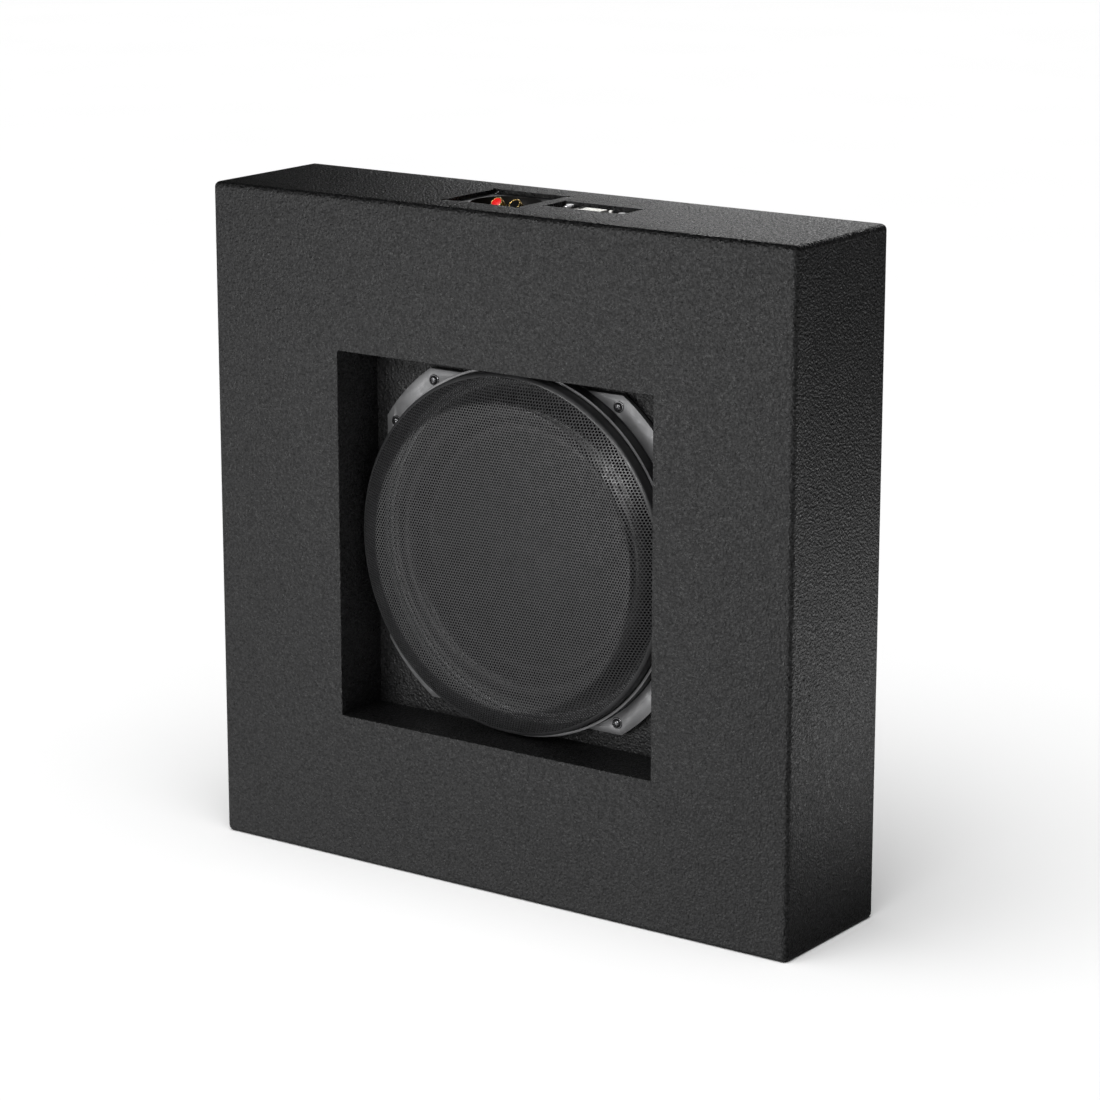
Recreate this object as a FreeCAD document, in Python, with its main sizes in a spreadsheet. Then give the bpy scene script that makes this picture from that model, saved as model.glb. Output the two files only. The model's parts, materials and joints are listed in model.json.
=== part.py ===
import FreeCAD, Part
import math
import os

import Sketcher

# A shallow powered subwoofer for a vehicle: a wooden box with a square recess in its front,
# a 12-inch driver behind a round perforated grille in that recess, and an amplifier and a
# terminal cup let into its top.
#
# Frame: millimetres, +Z up, origin at the centre of the underside. The front faces -Y.

doc = FreeCAD.newDocument("subwoofer")
sheet = doc.addObject("Spreadsheet::Sheet", "dims")

DIMENSIONS = {
    # box
    "box_width": 549, "box_depth": 129, "box_height": 546,
    "edge_round": 4.7, "coat": 0.6, "coat_rim": 1,
    "board": 15, "back_board": 12, "well_board": 12, "baffle_board": 19,
    "window": 300, "axis_x": 0.6, "axis_up": 272, "recess_depth": 51.3,
    "glue_block": 24, "pad_thick": 8,
    # cut-outs in the top panel
    "cup_x": -30.8, "cup_wide": 69, "cup_long": 67, "cup_sunk": 3, "cup_flange": 3,
    "slot_x": 51.9, "slot_wide": 73.2, "slot_long": 28.7, "slot_sunk": 4, "slot_gap": 0.4,
    # driver, measured from the baffle's face along its axis
    "flange_radius": 148, "ear_radius": 164, "ear_half": 135.5, "ear_base": 59.5, "ear_tip": 92.4,
    "gasket_thick": 1.5, "flange_front": 6, "flange_bore": 137,
    "bolt_radius": 154, "bolt_spread": 10, "bolt_hole": 2.8, "baffle_hole": 139,
    "landing_front": 3, "landing_bore": 124,
    "spider_level": -26, "motor_level": -35, "basket_wall": 2,
    "cone_edge": 100, "cone_neck": 32.5, "cone_floor": -18, "cone_thick": 1.2,
    "roll_radius": 12, "roll_thick": 0.9, "dust_radius": 42, "dust_rise": 13,
    "former_radius": 32.4, "former_thick": 0.4, "winding_thick": 1.5, "winding_length": 12,
    "gap_inner": 30.5, "gap_outer": 35, "plate_thick": 6, "plate_radius": 75,
    "magnet_bore": 44, "magnet_radius": 80, "magnet_thick": 12, "yoke_thick": 5, "vent_radius": 8,
    "spider_outer": 90, "spider_thick": 0.6, "spider_wave": 1.2,
    # grille
    "ring_bore": 140, "ring_front": 17.7, "ring_lip": 2, "mesh_radius": 145.2, "mesh_base": 26.7,
    "mesh_disc": 123, "mesh_front": 39.8, "mesh_thick": 1,
    # screws
    "screw_shank": 2.5, "screw_head": 4.6, "screw_head_high": 3, "screw_length": 27,
    "tnut_barrel": 3.3, "tnut_flange": 9, "tnut_deep": 9,
    "small_shank": 1.5, "small_head": 3, "small_head_high": 1.6,
    # binding posts
    "post_spacing": 17.4, "post_radius": 2.9, "nut_bore": 2.95, "nut_radius": 5.3,
    "nut_top": 12, "washer_thick": 1.3, "insert_radius": 4.1, "insert_thick": 1.5,
    "bowl_radius": 28, "bowl_deep": 26, "bowl_wall": 2.5,
    # amplifier
    "amp_wide": 100, "amp_long": 62, "amp_high": 82, "amp_wall": 3, "amp_top": 528,
    "cover_thick": 1.2, "board_thick": 1.6, "panel_thick": 2,
}

for row, (alias, value) in enumerate(DIMENSIONS.items(), start=1):
    cell = f"A{row}"
    sheet.set(cell, str(value))
    sheet.setAlias(cell, alias)
doc.recompute()

pieces = []
FORWARD = FreeCAD.Rotation(FreeCAD.Vector(1, 0, 0), 90)
TILTED = FreeCAD.Rotation(FreeCAD.Vector(1, 0, 0), 45)
BAFFLE_FACE = "-dims.box_depth / 2 + dims.recess_depth"
DRIVER_PLACE = ("dims.axis_x", BAFFLE_FACE, "dims.axis_up")


def number(expression):
    """Value of a number or of an expression on the sheet, in millimetres or degrees."""
    if isinstance(expression, (int, float)):
        return float(expression)
    value = sheet.evalExpression(expression)
    return float(getattr(value, "Value", value))


def bind(item, prop, expression):
    """Set a property to a plain number, or tie it to the sheet."""
    if isinstance(expression, (int, float)):
        setattr(item, prop, expression)
    else:
        item.setExpression(prop, expression)


def put(item, place=(0, 0, 0), turn=None):
    """Place an object; each coordinate is a number or an expression."""
    spot = FreeCAD.Vector(*[number(value) for value in place])
    item.Placement = FreeCAD.Placement(spot, turn or FreeCAD.Rotation())
    for letter, value in zip("xyz", place):
        if isinstance(value, str):
            item.setExpression(f".Placement.Base.{letter}", value)
    return item


def keep(item, label):
    """Name an object as a finished sub-part."""
    item.Label = label
    pieces.append(item)
    return item


# ---- Part primitives -------------------------------------------------------------------------

def block(size, corner, turn=None, name="block"):
    """A box by its size and its lowest corner."""
    item = doc.addObject("Part::Box", name)
    for prop, value in zip(("Length", "Width", "Height"), size):
        bind(item, prop, value)
    return put(item, corner, turn)


def centred_block(size, middle, name="block"):
    """A box by its size and the middle of its underside."""
    corner = (f"({middle[0]}) - ({size[0]}) / 2", f"({middle[1]}) - ({size[1]}) / 2", f"{middle[2]}")
    return block(size, corner, name=name)


def rod(radius, length, place, turn=None, name="rod"):
    """A cylinder by its radius, length and the centre of its foot."""
    item = doc.addObject("Part::Cylinder", name)
    bind(item, "Radius", radius)
    bind(item, "Height", length)
    return put(item, place, turn)


def cut(base, *tools):
    """Take each tool away from the base."""
    for tool in tools:
        item = doc.addObject("Part::Cut", "cut")
        item.Base = base
        item.Tool = tool
        base = item
    return base


def common(base, tool):
    item = doc.addObject("Part::Common", "common")
    item.Base = base
    item.Tool = tool
    return item


def fuse(*shapes):
    item = doc.addObject("Part::MultiFuse", "fuse")
    item.Shapes = list(shapes)
    return item


def rounded(base, radius, wanted):
    """Fillet the edges of a box whose direction and middle satisfy wanted(direction, middle)."""
    doc.recompute()
    item = doc.addObject("Part::Fillet", "rounded")
    item.Base = base
    size = number(radius)
    edges = []
    for index, edge in enumerate(base.Shape.Edges, start=1):
        ends = [vertex.Point for vertex in edge.Vertexes]
        direction = (ends[1] - ends[0]).normalize()
        if wanted(direction, (ends[0] + ends[1]) / 2):
            edges.append((index, size, size))
    item.Edges = edges
    return item


def every_edge(direction, middle):
    return True


def upright_edge(direction, middle):
    return abs(direction.z) > 0.9


def group(label, master, places):
    """Copies of one fastener at several places, as separate solids of one node."""
    doc.recompute()
    item = doc.addObject("Part::Feature", label)
    copies = []
    for place in places:
        copy = master.Shape.copy()
        copy.Placement = place.multiply(copy.Placement)
        copies.append(copy)
    item.Shape = Part.makeCompound(copies)
    return keep(item, label)


def pair(label, *items):
    """Several separate solids kept together as one sub-part."""
    item = doc.addObject("Part::Compound", label)
    item.Links = list(items)
    return keep(item, label)


# ---- PartDesign bodies -----------------------------------------------------------------------

def new_body(label, place=(0, 0, 0), turn=None):
    body = doc.addObject("PartDesign::Body", label)
    put(body, place, turn)
    return keep(body, label)


def sketch_on(body, role, level=0):
    """An empty sketch on one of the body's own origin planes, raised to a level."""
    sketch = body.newObject("Sketcher::SketchObject", "sketch")
    plane = [item for item in body.Origin.OriginFeatures if item.Role == role][0]
    sketch.AttachmentSupport = (plane, "")
    sketch.MapMode = "FlatFace"
    if isinstance(level, str):
        bind(sketch, ".AttachmentOffset.Base.z", level)
    else:
        sketch.AttachmentOffset = FreeCAD.Placement(FreeCAD.Vector(0, 0, level), FreeCAD.Rotation())
    return sketch


def arc_between(start, end, radius, turn):
    """The short arc from start to end: turn is 1 for anticlockwise and -1 for clockwise."""
    chord = end - start
    half = chord.Length / 2
    across = FreeCAD.Vector(-chord.y, chord.x, 0).normalize()
    centre = (start + end) / 2 + across * (turn * math.sqrt(max(radius * radius - half * half, 0)))
    through = centre - across * (turn * radius)
    return Part.Arc(start, through, end)


def outline(sketch, corners):
    """
    A closed outline. Each corner is (x, y), or (x, y, radius, turn) where an arc arrives at it.
    Every coordinate is a number or an expression and becomes a dimension of the sketch.
    """
    points = [FreeCAD.Vector(number(corner[0]), number(corner[1]), 0) for corner in corners]
    for index, corner in enumerate(corners):
        start = points[index - 1]
        end = points[index]
        if len(corner) == 2:
            edge = sketch.addGeometry(Part.LineSegment(start, end), False)
        else:
            edge = sketch.addGeometry(arc_between(start, end, number(corner[2]), corner[3]), False)
            dimension(sketch, "Radius", (edge,), corner[2])
        last = 2 if sketch.getPoint(edge, 2).distanceToPoint(end) < 1e-6 else 1
        dimension(sketch, "DistanceX", (-1, 1, edge, last), corner[0])
        dimension(sketch, "DistanceY", (-1, 1, edge, last), corner[1])
    for index in range(len(corners)):
        before, after = (index - 1) % len(corners), index
        joint = points[index - 1]
        ends = []
        for edge in (before, after):
            ends.append(2 if sketch.getPoint(edge, 2).distanceToPoint(joint) < 1e-6 else 1)
        sketch.addConstraint(Sketcher.Constraint("Coincident", before, ends[0], after, ends[1]))


def dimension(sketch, kind, targets, value):
    """Add one dimension, tied to the sheet when the value is an expression."""
    index = sketch.addConstraint(Sketcher.Constraint(kind, *targets, number(value)))
    if isinstance(value, str):
        sketch.setExpression(f"Constraints[{index}]", value)


def rectangle(sketch, wide, high, middle=(0, 0)):
    x, y = middle
    left, right = f"({x}) - ({wide}) / 2", f"({x}) + ({wide}) / 2"
    low, top = f"({y}) - ({high}) / 2", f"({y}) + ({high}) / 2"
    outline(sketch, [(left, low), (right, low), (right, top), (left, top)])


def circle(sketch, radius, middle=(0, 0)):
    spot = FreeCAD.Vector(number(middle[0]), number(middle[1]), 0)
    edge = sketch.addGeometry(Part.Circle(spot, FreeCAD.Vector(0, 0, 1), number(radius)), False)
    dimension(sketch, "Radius", (edge,), radius)
    dimension(sketch, "DistanceX", (-1, 1, edge, 3), middle[0])
    dimension(sketch, "DistanceY", (-1, 1, edge, 3), middle[1])


def pad(body, sketch, length, back=False):
    item = body.newObject("PartDesign::Pad", "pad")
    item.Profile = sketch
    bind(item, "Length", length)
    item.Reversed = back
    return item


def pocket(body, sketch, length=None, back=False):
    """A pocket of a length, or right through both ways when it has none."""
    item = body.newObject("PartDesign::Pocket", "pocket")
    item.Profile = sketch
    item.Reversed = back
    if length is None:
        item.Type = "ThroughAll"
        item.Midplane = True
    else:
        bind(item, "Length", length)
    return item


def around(body, feature, count):
    """Repeat a feature evenly about the body's Z axis."""
    doc.recompute()
    item = body.newObject("PartDesign::PolarPattern", "pattern")
    item.Originals = [feature]
    item.Axis = (feature.Profile[0], ["N_Axis"])
    item.Angle = 360
    item.Occurrences = count
    body.Tip = item
    return item


def turned(label, corners, place=DRIVER_PLACE, turn=FORWARD):
    """A body turned about its Z axis from an outline of (radius, height) corners."""
    body = new_body(label, place, turn)
    sketch = sketch_on(body, "XZ_Plane")
    outline(sketch, corners)
    item = body.newObject("PartDesign::Revolution", "revolution")
    item.Profile = sketch
    item.ReferenceAxis = (sketch, ["V_Axis"])
    item.Angle = 360
    return body


def ring(label, inner, outer, low, top, place=DRIVER_PLACE, turn=FORWARD):
    """A plain ring about the body's Z axis."""
    return turned(label, [(inner, low), (outer, low), (outer, top), (inner, top)], place, turn)


# ---- the box ---------------------------------------------------------------------------------

TOP = "dims.box_height - dims.coat"
INSIDE_X = "dims.box_width / 2 - dims.coat - dims.board"
FRONT_INNER = "-dims.box_depth / 2 + dims.coat + dims.board"
BACK_INNER = "dims.box_depth / 2 - dims.coat - dims.back_board"
WINDOW = "dims.window + 2 * dims.coat"


def window_block(size, low, top):
    """A square block on the driver's axis, from one depth to another, to cut a window with."""
    return block(
        (size, f"({top}) - ({low})", size),
        (f"dims.axis_x - ({size}) / 2", low, f"dims.axis_up - ({size}) / 2"),
        name="window",
    )


def slot_cutter():
    return centred_block(("dims.slot_wide", "dims.slot_long", 40),
                         ("dims.slot_x", 0, "dims.box_height - 30"), name="slot")


def cup_cutters():
    """The rebate for the cup's flange and the hole for its bowl."""
    rebate_floor = "dims.box_height - dims.cup_sunk - dims.cup_flange"
    rebate = centred_block(("dims.cup_wide", "dims.cup_long", 20), ("dims.cup_x", 0, rebate_floor))
    hole = rod("dims.bowl_radius + 3", 40, ("dims.cup_x", 0, "dims.box_height - 30"))
    return rounded(rebate, 3, upright_edge), hole


def wooden_core():
    """The whole wooden block with its rounded edges, from which each panel is taken."""
    core = block(("dims.box_width - 2 * dims.coat", "dims.box_depth - 2 * dims.coat", TOP),
                 ("-dims.box_width / 2 + dims.coat", "-dims.box_depth / 2 + dims.coat", 0), name="core")
    return rounded(core, "dims.edge_round - dims.coat", every_edge)


def panels():
    """The six outer boards: front and back run over the full face, the rest lie between them."""
    core = wooden_core()
    wide = "dims.box_width"
    deep = f"({BACK_INNER}) - ({FRONT_INNER})"
    inner_wide = f"2 * ({INSIDE_X})"
    left = "-dims.box_width / 2"
    front = block((wide, "dims.coat + dims.board", "dims.box_height"), (left, "-dims.box_depth / 2", 0))
    front = common(core, front)
    keep(cut(front, window_block(WINDOW, "-dims.box_depth / 2 - 5", FRONT_INNER)), "front_panel")
    back = block((wide, "dims.coat + dims.back_board", "dims.box_height"), (left, BACK_INNER, 0))
    keep(common(core, back), "back_panel")
    side = ("dims.coat + dims.board", deep, "dims.box_height")
    keep(common(core, block(side, (left, FRONT_INNER, 0))), "left_panel")
    keep(common(core, block(side, (INSIDE_X, FRONT_INNER, 0))), "right_panel")
    bottom = block((inner_wide, deep, "dims.board"), (f"-({INSIDE_X})", FRONT_INNER, 0))
    keep(common(core, bottom), "bottom_panel")
    top = block((inner_wide, deep, "dims.board"), (f"-({INSIDE_X})", FRONT_INNER, f"{TOP} - dims.board"))
    pilots = [rod("dims.small_shank + 0.1", 30, (x, y, number(TOP) - 20)) for x, y in cup_corners()]
    keep(cut(common(core, top), *cup_cutters(), slot_cutter(), fuse(*pilots)), "top_panel")


def well():
    """The four boards round the recess and the baffle that closes it."""
    depth = f"({BAFFLE_FACE}) + dims.coat - ({FRONT_INNER})"
    span = f"{WINDOW} + 2 * dims.well_board"
    low = f"dims.axis_up - ({WINDOW}) / 2"
    left = f"dims.axis_x - ({WINDOW}) / 2"
    flat = (span, depth, "dims.well_board")
    corner = f"{left} - dims.well_board"
    pair("well_boards_flat",
         block(flat, (corner, FRONT_INNER, f"{low} - dims.well_board")),
         block(flat, (corner, FRONT_INNER, f"{low} + {WINDOW}")))
    upright = ("dims.well_board", depth, WINDOW)
    pair("well_boards_upright",
         block(upright, (corner, FRONT_INNER, low)),
         block(upright, (f"{left} + {WINDOW}", FRONT_INNER, low)))

    baffle = new_body("baffle", DRIVER_PLACE, FORWARD)
    sketch = sketch_on(baffle, "XY_Plane", "-dims.coat")
    rectangle(sketch, span, span)
    pad(baffle, sketch, "dims.baffle_board", back=True)
    sketch = sketch_on(baffle, "XY_Plane", "-dims.coat")
    circle(sketch, "dims.baffle_hole")
    pocket(baffle, sketch)
    bolt_holes(baffle, "dims.tnut_barrel + 0.1")


def bolt_holes(body, radius):
    """Eight holes for the driver's screws: two in each quadrant."""
    sketch = sketch_on(body, "XY_Plane")
    for side in (-1, 1):
        angle = f"45 + {side} * dims.bolt_spread"
        circle(sketch, radius, (f"dims.bolt_radius * cos(({angle}) * 1deg)",
                                f"dims.bolt_radius * sin(({angle}) * 1deg)"))
    return around(body, pocket(body, sketch), 4)


def coats():
    """The textured coating: a thin skin over the box, and a lining over the recess."""
    skin = block(("dims.box_width", "dims.box_depth", "dims.box_height"),
                 ("-dims.box_width / 2", "-dims.box_depth / 2", 0), name="skin")
    skin = rounded(skin, "dims.edge_round", every_edge)
    rim = block(("dims.box_width + 10", "dims.box_depth + 10", "dims.coat_rim + 10"),
                ("-dims.box_width / 2 - 5", "-dims.box_depth / 2 - 5", -10), name="rim")
    window = window_block("dims.window", "-dims.box_depth / 2 - 5", 0)
    rebate = cup_cutters()[0]
    keep(cut(skin, wooden_core(), rim, window, rebate, slot_cutter()), "cabinet_coat")

    lining = window_block(WINDOW, "-dims.box_depth / 2 + dims.coat", f"({BAFFLE_FACE}) + dims.coat")
    hollow = window_block("dims.window", "-dims.box_depth / 2 - 5", BAFFLE_FACE)
    opening = rod("dims.baffle_hole", 20, ("dims.axis_x", f"({BAFFLE_FACE}) + 10", "dims.axis_up"), FORWARD)
    angles = screw_angles()
    doc.recompute()
    drills = [rod("dims.tnut_barrel + 0.1", 20, driver_point(angle, 10), FORWARD) for angle in angles]
    keep(cut(lining, hollow, opening, fuse(*drills)), "recess_coat")


def screw_angles():
    spread = number("dims.bolt_spread")
    return [45 + 90 * quarter + side * spread for quarter in range(4) for side in (-1, 1)]


def driver_point(angle, behind):
    """A point on the driver's bolt circle, at a distance behind the baffle's face."""
    radius = number("dims.bolt_radius")
    turn = math.radians(angle)
    return (
        number("dims.axis_x") + radius * math.cos(turn),
        number(BAFFLE_FACE) + behind,
        number("dims.axis_up") + radius * math.sin(turn),
    )


def braces():
    """Glue blocks in the box's four upright corners, and soft pads on the back panel."""
    size = "dims.glue_block"
    low = number("dims.board") + 20
    high = number("dims.box_height - dims.board") - 150
    near = number(INSIDE_X) - number(size)
    corner = block((size, size, 100), (0, 0, 0), name="glue_block")
    places = []
    for x in (-near - number(size), near):
        for y in (number(FRONT_INNER), number(BACK_INNER) - number(size)):
            for z in (low, high):
                places.append(FreeCAD.Placement(FreeCAD.Vector(x, y, z), FreeCAD.Rotation()))
    group("glue_blocks", corner, places)
    pad_shape = block((60, "dims.pad_thick", 230), (-30, 0, 0), name="pad")
    pad_y = number(BACK_INNER) - number("dims.pad_thick") - 0.3
    spots = [FreeCAD.Vector(side * 200, pad_y, 150) for side in (-1, 1)]
    group("damping_pads", pad_shape, [FreeCAD.Placement(spot, FreeCAD.Rotation()) for spot in spots])


# ---- the driver ------------------------------------------------------------------------------

def flange(body, low, top, bore):
    """The driver's front outline: a disc with four ears, a bore and eight screw holes."""
    sketch = sketch_on(body, "XY_Plane", low)
    circle(sketch, "dims.flange_radius")
    pad(body, sketch, f"({top}) - ({low})")
    sketch = sketch_on(body, "XY_Plane", low)
    outline(sketch, [
        ("dims.ear_half", "dims.ear_base"),
        ("dims.ear_half", "dims.ear_tip"),
        ("dims.ear_tip", "dims.ear_half", "dims.ear_radius", 1),
        ("dims.ear_base", "dims.ear_half"),
        (60, 60),
    ])
    around(body, pad(body, sketch, f"({top}) - ({low})"), 4)
    sketch = sketch_on(body, "XY_Plane")
    circle(sketch, bore)
    pocket(body, sketch)
    bolt_holes(body, "dims.bolt_hole")


def basket():
    """The driver's frame: flange, surround landing, windowed bowl, spider landing and motor seat."""
    frame = new_body("driver_frame", DRIVER_PLACE, FORWARD)
    flange(frame, "dims.gasket_thick", "dims.flange_front", "dims.flange_bore - 1")
    bowl = sketch_on(frame, "XZ_Plane")
    wall = "dims.basket_wall"
    outline(bowl, [
        ("dims.landing_bore", "dims.landing_front"),
        ("dims.landing_bore", f"dims.landing_front - {wall}"),
        ("dims.flange_bore - 4", f"dims.landing_front - {wall}"),
        ("dims.flange_bore - 4", -2.5),
        ("dims.spider_outer + 2", "dims.spider_level"),
        ("dims.spider_outer - 9.5", "dims.spider_level"),
        ("dims.plate_radius - 1.5", "dims.motor_level"),
        ("dims.gap_outer + 5", "dims.motor_level"),
        ("dims.gap_outer + 5", f"dims.motor_level - {wall}"),
        ("dims.plate_radius", f"dims.motor_level - {wall}"),
        ("dims.spider_outer - 7", f"dims.spider_level - {wall}"),
        ("dims.spider_outer + 3", f"dims.spider_level - {wall}"),
        ("dims.flange_bore", -3.5),
        ("dims.flange_bore", "dims.landing_front"),
    ])
    item = frame.newObject("PartDesign::Revolution", "bowl")
    item.Profile = bowl
    item.ReferenceAxis = (bowl, ["V_Axis"])
    item.Angle = 360
    window = sketch_on(frame, "XY_Plane", -1)
    outline(window, [(95, -38), (120, -50), (120, 50), (95, 38)])
    around(frame, pocket(frame, window, 30), 6)

    gasket = new_body("driver_gasket", DRIVER_PLACE, FORWARD)
    flange(gasket, 0, "dims.gasket_thick", "dims.baffle_hole + 0.5")


def moving_parts():
    """What travels with the voice coil: cone, dust cap, former and winding."""
    thick = "dims.cone_thick"
    turned("cone", [
        ("dims.cone_neck", "dims.cone_floor"),
        ("dims.cone_neck", f"dims.cone_floor - {thick}"),
        ("dims.cone_edge - 6", f"-{thick}"),
        ("dims.cone_edge", f"-{thick}"),
        ("dims.cone_edge", 0),
        ("dims.cone_edge - 6.5", 0),
    ])
    rim = "dims.cone_floor + (dims.dust_radius - dims.cone_neck) * 0.295 + 0.2"
    radius = "(dims.dust_radius^2 + dims.dust_rise^2) / (2 * dims.dust_rise)"
    turned("dust_cap", [
        (0, f"{rim} + dims.dust_rise", radius, 1),
        (0, f"{rim} + dims.dust_rise - 1"),
        ("dims.dust_radius - 2.4", rim, radius, -1),
        ("dims.dust_radius", rim),
    ])
    bottom = "dims.motor_level - dims.basket_wall - dims.plate_thick / 2 - dims.winding_length / 2"
    ring("voice_coil_former", "dims.former_radius - dims.former_thick", "dims.former_radius",
         bottom, "dims.cone_floor + 1")
    ring("voice_coil", "dims.former_radius", "dims.former_radius + dims.winding_thick",
         bottom, f"{bottom} + dims.winding_length")


def suspension():
    """Rubber surround and cloth spider, which flex between the frame and the cone."""
    edge = "dims.cone_edge"
    far = "dims.cone_edge + 2 * dims.roll_radius"
    thick = "dims.roll_thick"
    base = "dims.landing_front"
    turned("surround", [
        ("dims.cone_edge - 6", 0.1),
        (edge, 0.1),
        (f"{edge} + {thick}", 0.1),
        (f"{edge} + {thick}", base),
        (f"{far} - {thick}", base, f"(dims.roll_radius - {thick}) * 1.02", -1),
        (f"{far} + 12", base),
        (f"{far} + 12", f"{base} + {thick}"),
        (f"{far}", f"{base} + {thick}"),
        (edge, f"{base} + {thick}", "dims.roll_radius * 1.02", 1),
        (edge, f"0.1 + {thick}"),
        ("dims.cone_edge - 6", f"0.1 + {thick}"),
    ])
    waves = 6
    inner = number("dims.former_radius") + 0.3
    outer = number("dims.spider_outer") - 8
    step = (outer - inner - 3) / waves
    level = number("dims.spider_level") + 0.1
    lift = number("dims.spider_wave")
    thick = number("dims.spider_thick")
    top = [(inner, level + thick), (inner + 3, level + thick)]
    for wave in range(waves):
        middle = inner + 3 + (wave + 0.5) * step
        top.append((middle, level + thick + lift))
        top.append((middle + 0.5 * step, level + thick))
    top.append((number("dims.spider_outer"), level + thick))
    under = [(radius, height - thick) for radius, height in reversed(top)]
    turned("spider", under + top)


def motor():
    """Top plate, magnet, yoke with its pole, and the rubber boot round the magnet."""
    seat = "dims.motor_level - dims.basket_wall"
    plate = f"{seat} - dims.plate_thick"
    magnet = f"{plate} - dims.magnet_thick"
    yoke = f"{magnet} - dims.yoke_thick"
    ring("top_plate", "dims.gap_outer", "dims.plate_radius", plate, seat)
    ring("magnet_ring", "dims.magnet_bore", "dims.magnet_radius", magnet, plate)
    turned("yoke", [
        ("dims.vent_radius", yoke),
        ("dims.plate_radius", yoke),
        ("dims.plate_radius", magnet),
        ("dims.gap_inner", magnet),
        ("dims.gap_inner", seat),
        ("dims.vent_radius", seat),
    ])
    ring("magnet_boot", "dims.magnet_radius + 0.1", "dims.magnet_radius + 2.5", f"{magnet} - 2", f"{plate} - 1")


def grille():
    """Round rim on the driver's flange and the pressed sheet that it holds."""
    turned("grille_ring", [
        ("dims.ring_bore", "dims.flange_front"),
        ("dims.flange_radius", "dims.flange_front"),
        ("dims.flange_radius", "dims.ring_front - 0.6"),
        ("dims.flange_radius - 0.6", "dims.ring_front"),
        ("dims.flange_radius - dims.ring_lip", "dims.ring_front"),
        ("dims.flange_radius - dims.ring_lip", "dims.flange_front + 5"),
        ("dims.ring_bore", "dims.flange_front + 5"),
    ])
    thick = "dims.mesh_thick"
    turned("grille_mesh", [
        (0, "dims.mesh_front"),
        (0, f"dims.mesh_front - {thick}"),
        ("dims.mesh_disc - 0.5", f"dims.mesh_front - {thick}"),
        (f"dims.mesh_radius - {thick}", "dims.mesh_base - 0.5"),
        (f"dims.mesh_radius - {thick}", "dims.flange_front + 5.1"),
        ("dims.mesh_radius", "dims.flange_front + 5.1"),
        ("dims.mesh_radius", "dims.mesh_base"),
        ("dims.mesh_disc", "dims.mesh_front"),
    ])


def driver_terminals():
    """The terminal strip, fixed behind the frame's spider landing."""
    behind = f"{BAFFLE_FACE} - dims.spider_level + dims.basket_wall"
    corner = ("dims.axis_x - dims.spider_outer - 10", behind, "dims.axis_up - 12")
    keep(block((16, 3, 24), corner), "terminal_strip")


def screw(shank, head, head_high, length):
    """A cross-head screw along -Y: the head's underside at the origin, its shank behind."""
    body = rod(shank, length, (0, 0, 0), FreeCAD.Rotation(FreeCAD.Vector(1, 0, 0), -90))
    washer = rod(head, f"({head_high}) * 0.3", (0, 0, 0), FORWARD)
    dome = doc.addObject("Part::Ellipsoid", "dome")
    bind(dome, "Radius1", head_high)
    bind(dome, "Radius2", f"({head}) * 0.86")
    bind(dome, "Radius3", f"({head}) * 0.86")
    dome.Angle1 = 0
    put(dome, (0, 0, 0), FORWARD)
    arm = f"({head}) * 0.95"
    bar = f"({head}) * 0.19"
    cross = []
    for wide, high in ((arm, bar), (bar, arm)):
        cross.append(block((wide, 10, high), (f"-({wide}) / 2", f"-({head_high}) * 0.55 - 10", f"-({high}) / 2")))
    return cut(fuse(body, washer, dome), fuse(*cross))


def driver_fasteners():
    """Eight screws through the flange, and the T-nuts behind the baffle that take them."""
    front = number(BAFFLE_FACE) - number("dims.flange_front")
    master = screw("dims.screw_shank", "dims.screw_head", "dims.screw_head_high", "dims.screw_length")
    spots = [driver_point(angle, 0) for angle in screw_angles()]
    places = []
    for index, (x, y, z) in enumerate(spots):
        turn = FreeCAD.Rotation(FreeCAD.Vector(0, 1, 0), 20 + 31 * index)
        places.append(FreeCAD.Placement(FreeCAD.Vector(x, front, z), turn))
    group("driver_screws", master, places)

    nut = fuse(rod("dims.tnut_barrel", "dims.tnut_deep", (0, 0, 0), FORWARD),
               rod("dims.tnut_flange", 1.2, (0, 1.2, 0), FORWARD))
    nut = cut(nut, rod("dims.screw_shank + 0.05", 30, (0, 10, 0), FORWARD))
    behind = number(BAFFLE_FACE) + number("dims.coat + dims.baffle_board")
    group("t_nuts", nut, [FreeCAD.Placement(FreeCAD.Vector(x, behind, z), FreeCAD.Rotation())
                          for x, y, z in spots])


# ---- terminal cup ----------------------------------------------------------------------------

CUP_TOP = "dims.box_height - dims.cup_sunk"
POST_END = (-1.2, 542.2)


def post_place(side, along):
    """A point on a binding post's axis: along is the distance in from the cap's outer face."""
    lean = math.sqrt(0.5)
    x = number("dims.cup_x") + side * number("dims.post_spacing") / 2
    return (x, POST_END[0] + along * lean, POST_END[1] - along * lean)


def bowl(grow, label):
    item = doc.addObject("Part::Ellipsoid", label)
    bind(item, "Radius1", f"dims.bowl_deep + {grow}")
    bind(item, "Radius2", f"dims.bowl_radius + {grow}")
    bind(item, "Radius3", f"dims.bowl_radius + {grow}")
    return put(item, ("dims.cup_x", 0, f"{CUP_TOP} - dims.cup_flange"))


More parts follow.
